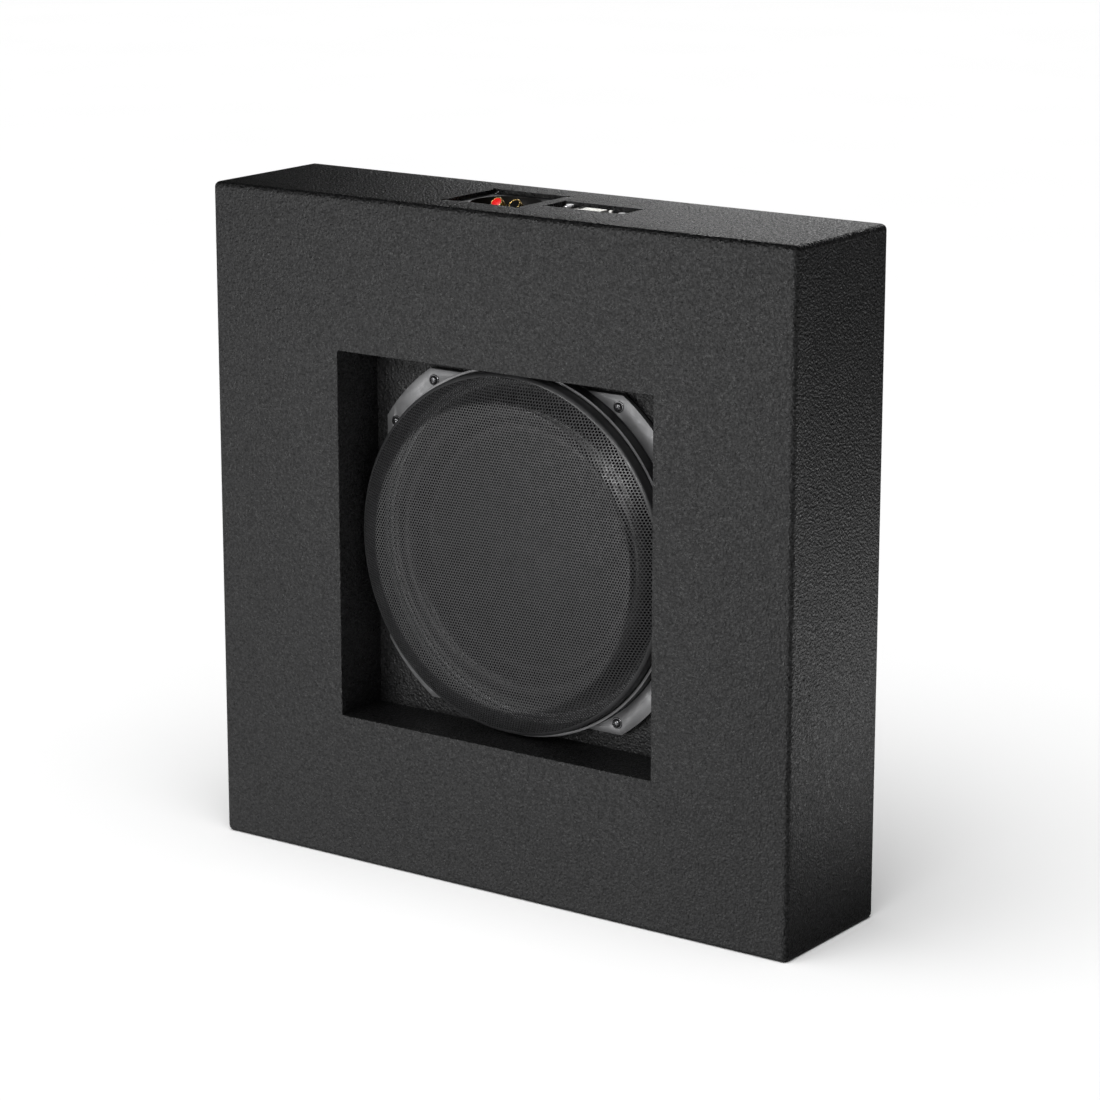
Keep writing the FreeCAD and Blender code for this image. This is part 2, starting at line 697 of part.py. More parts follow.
def terminal_cup():
    """A moulded cup: a flange, a rounded bowl and a tilted step that holds the posts."""
    gap = 0.3
    flange_low = f"{CUP_TOP} - dims.cup_flange"
    plate = centred_block((f"dims.cup_wide - 2 * {gap}", f"dims.cup_long - 2 * {gap}", "dims.cup_flange"),
                          ("dims.cup_x", 0, flange_low))
    plate = rounded(plate, 2.8, upright_edge)
    above = centred_block((100, 100, 40), ("dims.cup_x", 0, CUP_TOP))
    outer = fuse(plate, bowl("dims.bowl_wall", "outer_bowl"))
    hollow = cut(outer, bowl(0, "inner_bowl"), above)
    x, y, z = post_place(0, 13.6)
    step = block((36, 16, 30), (x - 18, 0, 0), name="step")
    lean = math.sqrt(0.5)
    step.Placement = FreeCAD.Placement(
        FreeCAD.Vector(x - 18, y + (30 - 8) * lean, z - (30 + 8) * lean), TILTED)
    step = rounded(step, 4, lambda direction, middle: abs(direction.x) < 0.1 and
                   abs(direction.y + direction.z) < 0.1)
    cup = fuse(hollow, common(step, bowl(1, "step_limit")))
    drills = []
    for side in (-1, 1):
        drills.append(rod("dims.post_radius + 0.1", 60, post_place(side, 50), TILTED))
    screws = [rod(1.7, 30, (cup_x, cup_y, number(flange_low) - 10)) for cup_x, cup_y in cup_corners()]
    keep(cut(cup, fuse(*drills), fuse(*screws)), "terminal_cup")


def cup_corners():
    middle = number("dims.cup_x")
    return [(middle + dx * 30, dy * 29) for dx in (-1, 1) for dy in (-1, 1)]


def upright_screw(label, spots, underside, length):
    """Small screws driven straight down, with the heads' undersides at one height."""
    master = screw("dims.small_shank", "dims.small_head", "dims.small_head_high", length)
    up = FreeCAD.Rotation(FreeCAD.Vector(1, 0, 0), -90)
    places = []
    for index, (x, y) in enumerate(spots):
        turn = FreeCAD.Rotation(FreeCAD.Vector(0, 0, 1), 15 + 37 * index).multiply(up)
        places.append(FreeCAD.Placement(FreeCAD.Vector(x, y, underside), turn))
    return group(label, master, places)


def binding_posts():
    """For each pole: a post, a clamp washer, a knurled nut and its coloured insert."""
    posts = []
    for side, colour in ((-1, "red"), (1, "black")):
        top = post_place(side, 12.2)
        post = fuse(rod("dims.post_radius", 40 - 2.4, post_place(side, 40), TILTED),
                    rod(5, 1.8, post_place(side, 36.5), TILTED))
        posts.append(post)
        ring(f"{colour}_post_washer", "dims.nut_bore", 4.9, 0, "dims.washer_thick",
             post_place(side, 12.2 + number("dims.washer_thick")), TILTED)
        nut = turned(f"{colour}_post_nut", [
            ("dims.nut_bore", 0),
            ("dims.nut_radius - 0.5", 0),
            ("dims.nut_radius", 0.5),
            ("dims.nut_radius", "dims.nut_top - 0.6"),
            ("dims.nut_radius - 0.6", "dims.nut_top"),
            ("dims.insert_radius", "dims.nut_top"),
            ("dims.insert_radius", "dims.nut_top - dims.insert_thick"),
            ("dims.nut_bore", "dims.nut_top - dims.insert_thick"),
        ], top, TILTED)
        flute = sketch_on(nut, "XY_Plane", 2)
        circle(flute, 0.45, ("dims.nut_radius + 0.15", 0))
        around(nut, pocket(nut, flute, "dims.nut_top - 4", back=True), 16)
        turned(f"{colour}_post_insert", [
            (0, 0), ("dims.insert_radius", 0), ("dims.insert_radius", "dims.insert_thick - 0.2"),
            (0, "dims.insert_thick - 0.2"),
        ], post_place(side, 0.2 + number("dims.insert_thick")), TILTED)
    pair("binding_posts", *posts)


# ---- amplifier -------------------------------------------------------------------------------

AMP_LOW = "dims.amp_top - dims.amp_high"
PANEL_TOP = "dims.box_height - dims.slot_sunk"


def amp_case():
    """Extruded heat sink with fins at the back, a sheet cover at the front, and two brackets."""
    wide, long, high, wall = "dims.amp_wide", "dims.amp_long", "dims.amp_high", "dims.amp_wall"
    sink = new_body("amp_heat_sink", ("dims.slot_x", 0, AMP_LOW))
    sketch = sketch_on(sink, "XY_Plane")
    rectangle(sketch, wide, long)
    pad(sink, sketch, high)
    sketch = sketch_on(sink, "XY_Plane", wall)
    rectangle(sketch, f"{wide} - 2 * {wall}", f"{long} - 12 - {wall}", (0, f"-6 - {wall} / 2"))
    pocket(sink, sketch, f"{high} - 2 * {wall}", back=True)
    sketch = sketch_on(sink, "XY_Plane")
    rectangle(sketch, 5, 9, (f"-{wide} / 2 + 8", f"{long} / 2 - 4.4"))
    groove = pocket(sink, sketch)
    doc.recompute()
    fins = sink.newObject("PartDesign::LinearPattern", "fins")
    fins.Originals = [groove]
    fins.Direction = (groove.Profile[0], ["H_Axis"])
    fins.Length = number(f"{wide} - 16")
    fins.Occurrences = 15
    sink.Tip = fins
    sketch = sketch_on(sink, "XY_Plane", "dims.amp_high")
    rectangle(sketch, 66, 22)
    pocket(sink, sketch, wall)
    keep(block((f"{wide} - 0.4", "dims.cover_thick", f"{high} - 0.4"),
               (f"dims.slot_x - {wide} / 2 + 0.2", f"-{long} / 2 - dims.cover_thick - 0.2", f"{AMP_LOW} + 0.2")),
         "amp_cover")
    foot = f"{TOP} - dims.board - 2"
    low = f"{AMP_LOW} + 20"
    brackets = []
    for start, arm in ((f"-{long} / 2 - 3.6", f"-{long} / 2 - 14"), (f"{long} / 2 + 0.1", f"{long} / 2 + 0.1")):
        upright = block((60, 2, f"({foot}) - ({low})"), ("dims.slot_x - 30", start, low))
        brackets.append(fuse(upright, block((60, 12.4, 2), ("dims.slot_x - 30", arm, foot))))
    pair("amp_brackets", *brackets)


def amp_panel():
    """The control end in the slot: a plate on a skirt that stands on the amplifier."""
    gap = number("dims.slot_gap")
    plate = new_body("amp_control_panel", ("dims.slot_x", 0, "dims.amp_top + 0.1"))
    tall = number(PANEL_TOP) - number("dims.amp_top") - 0.1
    sketch = sketch_on(plate, "XY_Plane")
    rectangle(sketch, f"dims.slot_wide - {gap}", f"dims.slot_long - {gap}")
    pad(plate, sketch, tall)
    sketch = sketch_on(plate, "XY_Plane")
    rectangle(sketch, f"dims.slot_wide - {gap} - 11.5", f"dims.slot_long - {gap} - 4")
    pocket(plate, sketch, tall - number("dims.panel_thick"), back=True)
    screw_holes = [(1.6, (dx * 32.5, dy * 10.5)) for dx in (-1, 1) for dy in (-1, 1)]
    for size, spot in PANEL_HOLES + screw_holes:
        sketch = sketch_on(plate, "XY_Plane", tall)
        if isinstance(size, tuple):
            rectangle(sketch, size[0], size[1], spot)
        else:
            circle(sketch, size, spot)
        pocket(plate, sketch, "dims.panel_thick + 8")


# Holes in the control panel about its middle: a radius or (wide, long), and the place.
KNOB_SPOT = (-26.6, 6.5)
TRIMMER_SPOT = (25.2, 1.5)
LIGHT_SPOT = (-27, -7)
SWITCH_SPOT = (17, 1)
SOCKET_SPOT = (-2.5, 0)
PANEL_HOLES = [
    (2.2, KNOB_SPOT), (3.0, TRIMMER_SPOT), (1.6, LIGHT_SPOT),
    ((7.4, 5.0), SWITCH_SPOT), ((24.4, 11.4), SOCKET_SPOT),
]


def panel_place(spot, above=0):
    """A point on the control panel's face, and a height above it."""
    return (number("dims.slot_x") + spot[0], spot[1], number(PANEL_TOP) + above)


def amp_controls():
    """Level knob and control, crossover trimmer, phase switch, power light and harness socket."""
    x, y, z = panel_place(KNOB_SPOT)
    level = fuse(block((6.8, 6.8, 8), (x - 3.4, y - 3.4, z - 10.2)), rod(2.1, 4, (x, y, z - 3)))
    knob = turned("level_knob", [
        (0, 0.4), (2.8, 0.4), (3.0, 0.7), (3.0, 1.9), (2.5, 2.4), (0, 2.4),
    ], (x, y, z + 0.8), FreeCAD.Rotation())
    mark = sketch_on(knob, "XY_Plane", 2.4)
    rectangle(mark, 0.6, 2.2, (0, 1.6))
    pocket(knob, mark, 0.5)

    x, y, z = panel_place(TRIMMER_SPOT)
    pair("potentiometers", level, block((7, 7, 5.5), (x - 3.5, y - 3.5, z - 8)))
    trimmer = turned("crossover_trimmer", [(0, 0), (2.9, 0), (2.9, 3.7), (2.4, 4.2), (0, 4.2)],
                     (x, y, z - 2.4), FreeCAD.Rotation())
    slit = sketch_on(trimmer, "XY_Plane", 4.2)
    rectangle(slit, 4.4, 0.8)
    pocket(trimmer, slit, 0.9)

    x, y, z = panel_place(SWITCH_SPOT)
    body = block((7, 4.6, 5), (x - 3.5, y - 2.3, z - 5.4))
    keep(cut(body, block((6, 2.6, 2), (x - 3, y - 1.3, z - 1.6))), "phase_switch")
    keep(block((2.8, 2.4, 4.3), (x - 2.9, y - 1.2, z - 1.5)), "switch_slider")

    x, y, z = panel_place(LIGHT_SPOT)
    lens = fuse(rod(1.5, 4, (x, y, z - 3.2)), rod(1.9, 1, (x, y, z - 3.2)))
    keep(lens, "power_light")

    x, y, z = panel_place(SOCKET_SPOT)
    shell = rounded(block((24, 11, 9.4), (x - 12, y - 5.5, z - 7), name="shell"), 0.8, upright_edge)
    cells = []
    for column in range(5):
        for line in range(2):
            cells.append(block((3, 3, 7.4), (x - 10.3 + column * 4.4, y - 4 + line * 5, z - 3)))
    keep(cut(shell, fuse(*cells)), "harness_socket")


def amp_inside():
    """Circuit board with its stand-offs and the parts on it."""
    x, z = number("dims.slot_x"), number(AMP_LOW)
    board_y = 4
    keep(block((88, "dims.board_thick", 60), (x - 44, board_y, z + 8)), "circuit_board")
    posts = []
    for dx in (-40, 40):
        for dz in (13, 63):
            posts.append(FreeCAD.Placement(FreeCAD.Vector(x + dx, 15.9, z + dz), FreeCAD.Rotation()))
    group("stand_offs", rod(2.5, 10, (0, 0, 0), FORWARD), posts)
    along = FreeCAD.Rotation()
    spots = [FreeCAD.Placement(FreeCAD.Vector(x - 34 + 19 * n, board_y - 0.1, z + 26), along) for n in range(3)]
    group("capacitors", rod(9, 26, (0, 0, 0), FORWARD), spots)
    coil = doc.addObject("Part::Torus", "coil")
    coil.Radius1 = 9
    coil.Radius2 = 5
    keep(put(coil, (x + 29, board_y - 5.3, z + 30), FORWARD), "output_inductor")
    device = block((10, 4.5, 15), (0, 0, 0))
    spots = [FreeCAD.Placement(FreeCAD.Vector(x - 39 + 17 * n, 11.4, z + 40), along) for n in range(5)]
    group("power_transistors", device, spots)
    keep(block((9, 12, 22), (x - number("dims.amp_wide") / 2 - 9.1, -6, z + 24)), "output_terminals")


# ---- wires inside ----------------------------------------------------------------------------

def wire(route, radius):
    """A lead along straight runs joined by tangent arcs."""
    points = [FreeCAD.Vector(*point) for point in route]
    edges = []
    start = points[0]
    for before, corner, after in zip(points, points[1:], points[2:]):
        entry, leave = (before - corner), (after - corner)
        angle = math.pi - entry.getAngle(leave)
        trim = 0.45 * min(entry.Length, leave.Length)
        first = corner + FreeCAD.Vector(entry).normalize() * trim
        last = corner + FreeCAD.Vector(leave).normalize() * trim
        bend = trim / math.tan(angle / 2)
        inward = (FreeCAD.Vector(entry).normalize() + FreeCAD.Vector(leave).normalize()).normalize()
        centre = corner + inward * (bend / math.cos(angle / 2))
        middle = centre - inward * bend
        edges.append(Part.LineSegment(start, first).toShape())
        edges.append(Part.Arc(first, middle, last).toShape())
        start = last
    edges.append(Part.LineSegment(start, points[-1]).toShape())
    path = Part.Wire(edges)
    section = Part.Wire(Part.Circle(points[0], points[1] - points[0], radius).toShape())
    item = doc.addObject("Part::Feature", "wire")
    item.Shape = path.makePipeShell([section], True, False)
    return item


def leads():
    """Flexible leads on the driver, and the pairs from amplifier to posts to driver."""
    axis_x, axis_up = number("dims.axis_x"), number("dims.axis_up")
    face = number(BAFFLE_FACE)
    tinsel, speaker, amp = [], [], []
    for side in (-1, 1):
        up = axis_up + side * 6
        tinsel.append(wire([
            (axis_x - 98.2, face + 27.9, up), (axis_x - 98.4, face + 22, up),
            (axis_x - 92, face + 17.5, up), (axis_x - 78, face + 16.5, up),
            (axis_x - 66, face + 11.5, up),
        ], 1.0))
        x, y, z = post_place(side, 41.2)
        near = side * 2.5
        speaker.append(wire([
            (x, y, z), (x - 3, y + 4, z - 10), (-70 + near, 34 + near, 472 + near),
            (-150 + near, 35 + near, 456 + near), (-178 + near, 35 + near, 415),
            (-178 + near, 34 + near, 335), (-150 + near, 28, 290 + near),
            (-122, 25, up + side * 2), (-100, 20, up),
        ], 1.6))
        amp.append(wire([
            (x, y - 3.4, z - 1.6), (x + 2, y - 10, z - 7), (x + 8, 8, 502),
            (-6 + side * 4, 3, 500), (-3 + side * 2.2, 0, 493.2),
        ], 1.2))
    pair("tinsel_leads", *tinsel)
    pair("speaker_leads", *speaker)
    pair("amp_leads", *amp)


def build():
    panels()
    well()
    coats()
    braces()
    basket()
    moving_parts()
    suspension()
    motor()
    grille()
    driver_terminals()
    driver_fasteners()
    terminal_cup()
    upright_screw("cup_screws", cup_corners(), number(CUP_TOP), 12)
    binding_posts()
    amp_case()
    amp_panel()
    amp_controls()
    amp_inside()
    corners = [(number("dims.slot_x") + dx * 32.5, dy * 10.5) for dx in (-1, 1) for dy in (-1, 1)]
    upright_screw("panel_screws", corners, number(PANEL_TOP), 9)
    leads()


def check_and_write():
    """Refuse a failed object, then write one STEP file for each sub-part."""
    doc.recompute()
    for item in doc.Objects:
        if "Invalid" in item.State or "Error" in item.State:
            raise RuntimeError(f"{item.Name} ({item.Label}) failed: {item.State}")
    os.makedirs("parts", exist_ok=True)
    for item in pieces:
        shape = item.Shape
        if shape.isNull() or not shape.isValid() or not shape.Solids:
            raise RuntimeError(f"{item.Label} has no valid solid")
        shape.exportStep(os.path.join("parts", item.Label + ".step"))
        print(f"{item.Label}: {len(shape.Solids)} solids, {shape.Volume / 1000:.2f} cm3")


build()
check_and_write()
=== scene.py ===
import json
import math

import bmesh
import bpy
from mathutils import Matrix, Vector

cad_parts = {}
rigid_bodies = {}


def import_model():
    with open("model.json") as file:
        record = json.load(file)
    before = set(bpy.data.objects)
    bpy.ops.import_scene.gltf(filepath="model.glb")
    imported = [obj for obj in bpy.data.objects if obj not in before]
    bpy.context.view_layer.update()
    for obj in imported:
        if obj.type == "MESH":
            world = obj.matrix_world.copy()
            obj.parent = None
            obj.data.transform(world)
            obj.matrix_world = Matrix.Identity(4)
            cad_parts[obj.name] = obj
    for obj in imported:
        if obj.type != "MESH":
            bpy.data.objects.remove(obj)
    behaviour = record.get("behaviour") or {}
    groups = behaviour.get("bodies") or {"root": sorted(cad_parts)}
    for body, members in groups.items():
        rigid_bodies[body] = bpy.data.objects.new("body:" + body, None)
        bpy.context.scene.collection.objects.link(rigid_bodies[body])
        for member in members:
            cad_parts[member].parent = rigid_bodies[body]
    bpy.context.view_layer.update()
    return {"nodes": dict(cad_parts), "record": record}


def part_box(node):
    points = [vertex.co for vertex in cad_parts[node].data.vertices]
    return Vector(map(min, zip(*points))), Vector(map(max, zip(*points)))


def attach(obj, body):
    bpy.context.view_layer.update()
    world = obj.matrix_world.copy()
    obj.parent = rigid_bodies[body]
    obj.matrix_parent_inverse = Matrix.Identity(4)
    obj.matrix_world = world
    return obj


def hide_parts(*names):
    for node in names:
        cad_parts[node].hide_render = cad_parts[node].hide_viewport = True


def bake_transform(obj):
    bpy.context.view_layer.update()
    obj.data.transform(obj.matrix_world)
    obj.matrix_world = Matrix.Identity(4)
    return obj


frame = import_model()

# A shallow powered subwoofer: a sprayed box with a square recess, a 12-inch driver behind a
# pressed and perforated grille, and an amplifier panel and a terminal cup let into its top.
# Lengths are in metres. The front faces -Y.

MM = 0.001
FORWARD = Vector((0, -1, 0))
COAT = 0.6 * MM
TINY = 0.01 * MM

RECORD = frame["record"]
NODES = frame["nodes"]
BODY_OF = {node: body for body, nodes in RECORD["behaviour"]["bodies"].items() for node in nodes}
SLOT_OF = {part["node"]: part["material_slot"] for part in RECORD["subparts"]}


def spans(node):
    """A CAD node's lowest and highest corners."""
    low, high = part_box(node)
    return Vector(low), Vector(high)


def middle(node):
    low, high = spans(node)
    return (low + high) / 2


# The driver's axis, where it leaves the baffle's face.
LINING_LOW, LINING_HIGH = spans("recess_coat")
CONE_MIDDLE = middle("cone")
BAFFLE_FACE = LINING_HIGH.y - COAT
AXIS = Vector((CONE_MIDDLE.x, BAFFLE_FACE, CONE_MIDDLE.z))


# ---- hand tools --------------------------------------------------------------------------------

def take(piece):
    """Selects one object alone, ready for a tool."""
    bpy.ops.object.select_all(action="DESELECT")
    piece.hide_set(False)
    piece.select_set(True)
    bpy.context.view_layer.objects.active = piece
    return piece


def named(name):
    """Names the object that a tool has just made, and sets its place in its mesh."""
    piece = bpy.context.object
    piece.name = name
    piece.data.name = name
    bpy.ops.object.transform_apply(location=True, rotation=True, scale=True)
    return piece


def open_mesh(piece, kind="FACE"):
    take(piece)
    bpy.ops.object.mode_set(mode="EDIT")
    bpy.ops.mesh.select_mode(type=kind)
    bpy.ops.mesh.select_all(action="DESELECT")


def close_mesh():
    bpy.ops.object.mode_set(mode="OBJECT")


def pick_faces(piece, wanted):
    """In edit mode, selects the faces whose middle and normal pass a test."""
    bpy.ops.mesh.select_mode(type="FACE")
    bpy.ops.mesh.select_all(action="DESELECT")
    shape = bmesh.from_edit_mesh(piece.data)
    for face in shape.faces:
        if wanted(face.calc_center_median(), face.normal):
            face.select_set(True)
    bmesh.update_edit_mesh(piece.data)


def pick_edges(piece, wanted):
    """In edit mode, selects the edges whose two ends pass a test."""
    bpy.ops.mesh.select_mode(type="EDGE")
    bpy.ops.mesh.select_all(action="DESELECT")
    shape = bmesh.from_edit_mesh(piece.data)
    for edge in shape.edges:
        if wanted(edge.verts[0].co, edge.verts[1].co):
            edge.select_set(True)
    bmesh.update_edit_mesh(piece.data)


def apply_all(piece):
    """Applies every modifier on a piece, from the top."""
    take(piece)
    for modifier in list(piece.modifiers):
        bpy.ops.object.modifier_apply(modifier=modifier.name)


def break_edges(piece, width, segments=2, angle=40):
    """Rounds the sharp edges of a piece."""
    bevel = piece.modifiers.new("Broken edges", "BEVEL")
    bevel.width = width
    bevel.segments = segments
    bevel.limit_method = "ANGLE"
    bevel.angle_limit = math.radians(angle)
    bevel.use_clamp_overlap = True
    apply_all(piece)


def smooth(piece, angle=35):
    take(piece)
    bpy.ops.object.shade_smooth_by_angle(angle=math.radians(angle))


def ring_along(name, profile, centre, steps):
    """In edit mode: a ring that is extruded forward through a profile of (radius, height)."""
    radius, height = profile[0]
    facing = FORWARD.to_track_quat("Z", "Y").to_euler()
    bpy.ops.object.select_all(action="DESELECT")
    bpy.ops.mesh.primitive_circle_add(
        vertices=steps, radius=radius, location=centre + FORWARD * height, rotation=facing)
    piece = named(name)
    open_mesh(piece, "EDGE")
    bpy.ops.mesh.select_all(action="SELECT")
    for next_radius, next_height in profile[1:]:
        bpy.ops.mesh.extrude_edges_move(
            TRANSFORM_OT_translate={"value": FORWARD * (next_height - height)})
        grow = next_radius / radius
        bpy.ops.transform.resize(value=(grow, grow, grow),
                                 center_override=centre + FORWARD * next_height)
        radius, height = next_radius, next_height
    return piece


def open_ring(name, profile, steps=144):
    """A turned sheet about the driver's axis, with no thickness yet, open at its two edges."""
    piece = ring_along(name, profile, AXIS, steps)
    bpy.ops.mesh.select_all(action="SELECT")
    bpy.ops.mesh.normals_make_consistent(inside=False)
    close_mesh()
    return piece


def turned(name, profile, centre=AXIS, steps=128):
    """A turned piece, closed on itself."""
    piece = ring_along(name, profile, centre, steps)
    shape = bmesh.from_edit_mesh(piece.data)
    for edge in shape.edges:
        edge.select_set(edge.is_boundary)
    bmesh.update_edit_mesh(piece.data)
    close_ends(piece, profile)
    bpy.ops.mesh.select_all(action="SELECT")
    bpy.ops.mesh.remove_doubles(threshold=0.001 * MM)
    bpy.ops.mesh.normals_make_consistent(inside=False)
    close_mesh()
    return piece


def close_ends(piece, profile):
    """Closes a turned shape: a tiny first or last ring gets a cap, and wide ones are joined."""
    if min(profile[0][0], profile[-1][0]) < 0.1 * MM:
        bpy.ops.mesh.edge_face_add()
    else:
        bpy.ops.mesh.bridge_edge_loops()


def stand_for(name, piece, node):
    """Lets a finished piece stand for a CAD node, on that node's body and in its finish."""
    piece.name = name
    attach(piece, BODY_OF[node])
    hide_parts(node)
    in_finish(piece, SLOT_OF[node])


def in_finish(piece, finish):
    """Notes a piece's slot, which is also the name of its finish."""
    piece["finish"] = finish


def softened(node, width, segments=2, angle=40):
    """A copy of a CAD node's shape, cleaned, with its edges broken as a real part's are."""
    source = NODES[node]
    bpy.ops.object.select_all(action="DESELECT")
    piece = source.copy()
    piece.data = source.data.copy()
    piece.parent = None
    piece.matrix_world = Matrix.Identity(4)
    bpy.context.scene.collection.objects.link(piece)
    open_mesh(piece, "VERT")
    bpy.ops.mesh.select_all(action="SELECT")
    bpy.ops.mesh.remove_doubles(threshold=0.002 * MM)
    bpy.ops.mesh.dissolve_limited(angle_limit=math.radians(0.5))
    close_mesh()
    break_edges(piece, width, segments, angle)
    smooth(piece)
    stand_for(node + "_finished", piece, node)


# ---- box ---------------------------------------------------------------------------------------

def cut_across(piece, wanted, axis, places):
    """Cuts the chosen faces at each place along an axis."""
    for place in places:
        pick_faces(piece, wanted)
        point, normal = Vector((0, 0, 0)), Vector((0, 0, 0))
        point[axis] = place
        normal[axis] = 1
        bpy.ops.mesh.bisect(plane_co=point, plane_no=normal)


RECESS_CORNER = 1.2 * MM
RECESS_LIP = 0.9 * MM


def window_in(piece, low, high):
    """The square recess in the front, with rounded corners and a rounded lip."""
    front = min(vertex.co.y for vertex in piece.data.vertices)
    open_mesh(piece)
    facing = lambda centre, normal: normal.y < -0.9
    cut_across(piece, facing, 0, (low.x, high.x))
    cut_across(piece, facing, 2, (low.z, high.z))
    inside = lambda centre, normal: (normal.y < -0.9 and low.x < centre.x < high.x
                                     and low.z < centre.z < high.z)
    pick_faces(piece, inside)
    bpy.ops.mesh.extrude_region_move(
        TRANSFORM_OT_translate={"value": (0, BAFFLE_FACE - front, 0)})
    corner = lambda a, b: (abs(a.y - b.y) > 40 * MM
                           and min(abs(a.x - low.x), abs(a.x - high.x)) < TINY
                           and min(abs(a.z - low.z), abs(a.z - high.z)) < TINY)
    pick_edges(piece, corner)
    bpy.ops.mesh.bevel(offset=RECESS_CORNER, segments=3, affect="EDGES")
    lip = lambda a, b: (abs(a.y - front) < TINY and abs(b.y - front) < TINY
                        and within(a, low, high) and within(b, low, high)
                        and on_rim(a, low, high) and on_rim(b, low, high))
    pick_edges(piece, lip)
    bpy.ops.mesh.bevel(offset=RECESS_LIP, segments=3, affect="EDGES")
    close_mesh()


def within(point, low, high):
    """True inside the recess's square outline, or on it."""
    return (low.x - TINY <= point.x <= high.x + TINY
            and low.z - TINY <= point.z <= high.z + TINY)


def on_rim(point, low, high):
    """True on the recess's square outline, or on its rounded corners."""
    edge = min(abs(point.x - low.x), abs(point.x - high.x),
               abs(point.z - low.z), abs(point.z - high.z))
    return edge < RECESS_CORNER + TINY


def hole_in_top(piece, low, high, corner):
    """A rectangular hole through the top, with rounded corners."""
    depth = 6 * MM
    open_mesh(piece)
    top = max(vertex.co.z for vertex in bmesh.from_edit_mesh(piece.data).verts)
    near = lambda centre, normal: normal.z > 0.9 and centre.z > top - 1 * MM
    cut_across(piece, near, 0, (low.x, high.x))
    cut_across(piece, near, 1, (low.y, high.y))
    inside = lambda centre, normal: (normal.z > 0.9 and centre.z > top - 2 * depth
                                     and low.x < centre.x < high.x and low.y < centre.y < high.y)
    pick_faces(piece, inside)
    bpy.ops.mesh.extrude_region_move(TRANSFORM_OT_translate={"value": (0, 0, -depth)})
    upright = lambda a, b: (abs(a.z - b.z) > 0.9 * depth
                            and min(abs(a.x - low.x), abs(a.x - high.x)) < TINY
                            and min(abs(a.y - low.y), abs(a.y - high.y)) < TINY)
    pick_edges(piece, upright)
    bpy.ops.mesh.bevel(offset=corner, segments=4, affect="EDGES")
    pick_faces(piece, inside)
    bpy.ops.mesh.delete(type="FACE")
    close_mesh()


def baffle_hole(piece, radius):
    """The round hole that the driver stands in, drilled through the coating."""
    facing = FORWARD.to_track_quat("Z", "Y").to_euler()
    bpy.ops.object.select_all(action="DESELECT")
    bpy.ops.mesh.primitive_cylinder_add(vertices=96, radius=radius, depth=8 * MM,
                                        location=AXIS, rotation=facing)
    drill = named("drill")
    hole = piece.modifiers.new("Driver hole", "BOOLEAN")
    hole.operation = "DIFFERENCE"
    hole.object = drill
    apply_all(piece)
    bpy.data.objects.remove(drill)


EDGE_ROUND = 4.7 * MM
DRIVER_HOLE = 139 * MM


def cabinet_skin():
    """The sprayed coating over the box and inside its recess, one sheet of even thickness."""
    low, high = spans("cabinet_coat")
    low.z = -0.05 * MM
    size = high - low
    bpy.ops.object.select_all(action="DESELECT")
    bpy.ops.mesh.primitive_cube_add(size=1, location=(low + high) / 2)
    bpy.ops.transform.resize(value=size)
    skin = named("cabinet_skin")
    window_low = Vector((LINING_LOW.x + COAT, 0, LINING_LOW.z + COAT))
    window_high = Vector((LINING_HIGH.x - COAT, 0, LINING_HIGH.z - COAT))
    window_in(skin, window_low, window_high)

    for node, fit, corner in (("terminal_cup", 0.25 * MM, 3 * MM),
                              ("amp_control_panel", 0.15 * MM, 1.5 * MM)):
        hole_low, hole_high = spans(node)
        gap = Vector((fit, fit, 0))
        hole_in_top(skin, hole_low - gap, hole_high + gap, corner)

    open_mesh(skin, "EDGE")
    pick_edges(skin, lambda a, b: same_edge(a, b, low, high))
    bpy.ops.mesh.bevel(offset=EDGE_ROUND, segments=6, affect="EDGES")
    close_mesh()
    thick = skin.modifiers.new("Thickness", "SOLIDIFY")
    thick.thickness = COAT
    thick.offset = -1
    thick.use_even_offset = True
    apply_all(skin)
    baffle_hole(skin, DRIVER_HOLE)
    smooth(skin, 30)
    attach(skin, "root")
    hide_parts("cabinet_coat", "recess_coat")
    in_finish(skin, "textured_coat")


def same_edge(a, b, low, high):
    """True if two points share two faces of the box."""
    shared = 0
    for axis in range(3):
        for side in (low, high):
            if abs(a[axis] - side[axis]) < TINY and abs(b[axis] - side[axis]) < TINY:
                shared += 1
    return shared >= 2


# ---- grille ------------------------------------------------------------------------------------

DISC_RADIUS = 123 * MM
DISC_AHEAD = 39.8 * MM
SLOPE_RADIUS = 143.6 * MM
RIM_RADIUS = 145.2 * MM
RIM_AHEAD = 26.7 * MM
SLOPE = (DISC_AHEAD - RIM_AHEAD) / (RIM_RADIUS - DISC_RADIUS)
BEND = 1.8 * MM
SHEET = 0.8 * MM
PITCH = 2.5 * MM
BAR = 0.72 * MM


def pressing_tool():
    """The shape that the flat perforated sheet is pressed over: a disc, a rounded bend, a slope."""
    profile = [(0.05 * MM, DISC_AHEAD), (DISC_RADIUS - BEND, DISC_AHEAD)]
    for step in range(1, 8):
        share = step / 8
        out = DISC_RADIUS - BEND + 2 * BEND * share
        profile.append((out, DISC_AHEAD - SLOPE * BEND * share ** 2))
    out = RIM_RADIUS + 4 * MM
    profile.append((DISC_RADIUS + BEND, DISC_AHEAD - SLOPE * BEND))
    profile.append((out, DISC_AHEAD - SLOPE * (out - DISC_RADIUS)))
    return turned("pressing_tool", profile + [(out, 0), (0.05 * MM, 0)], steps=192)


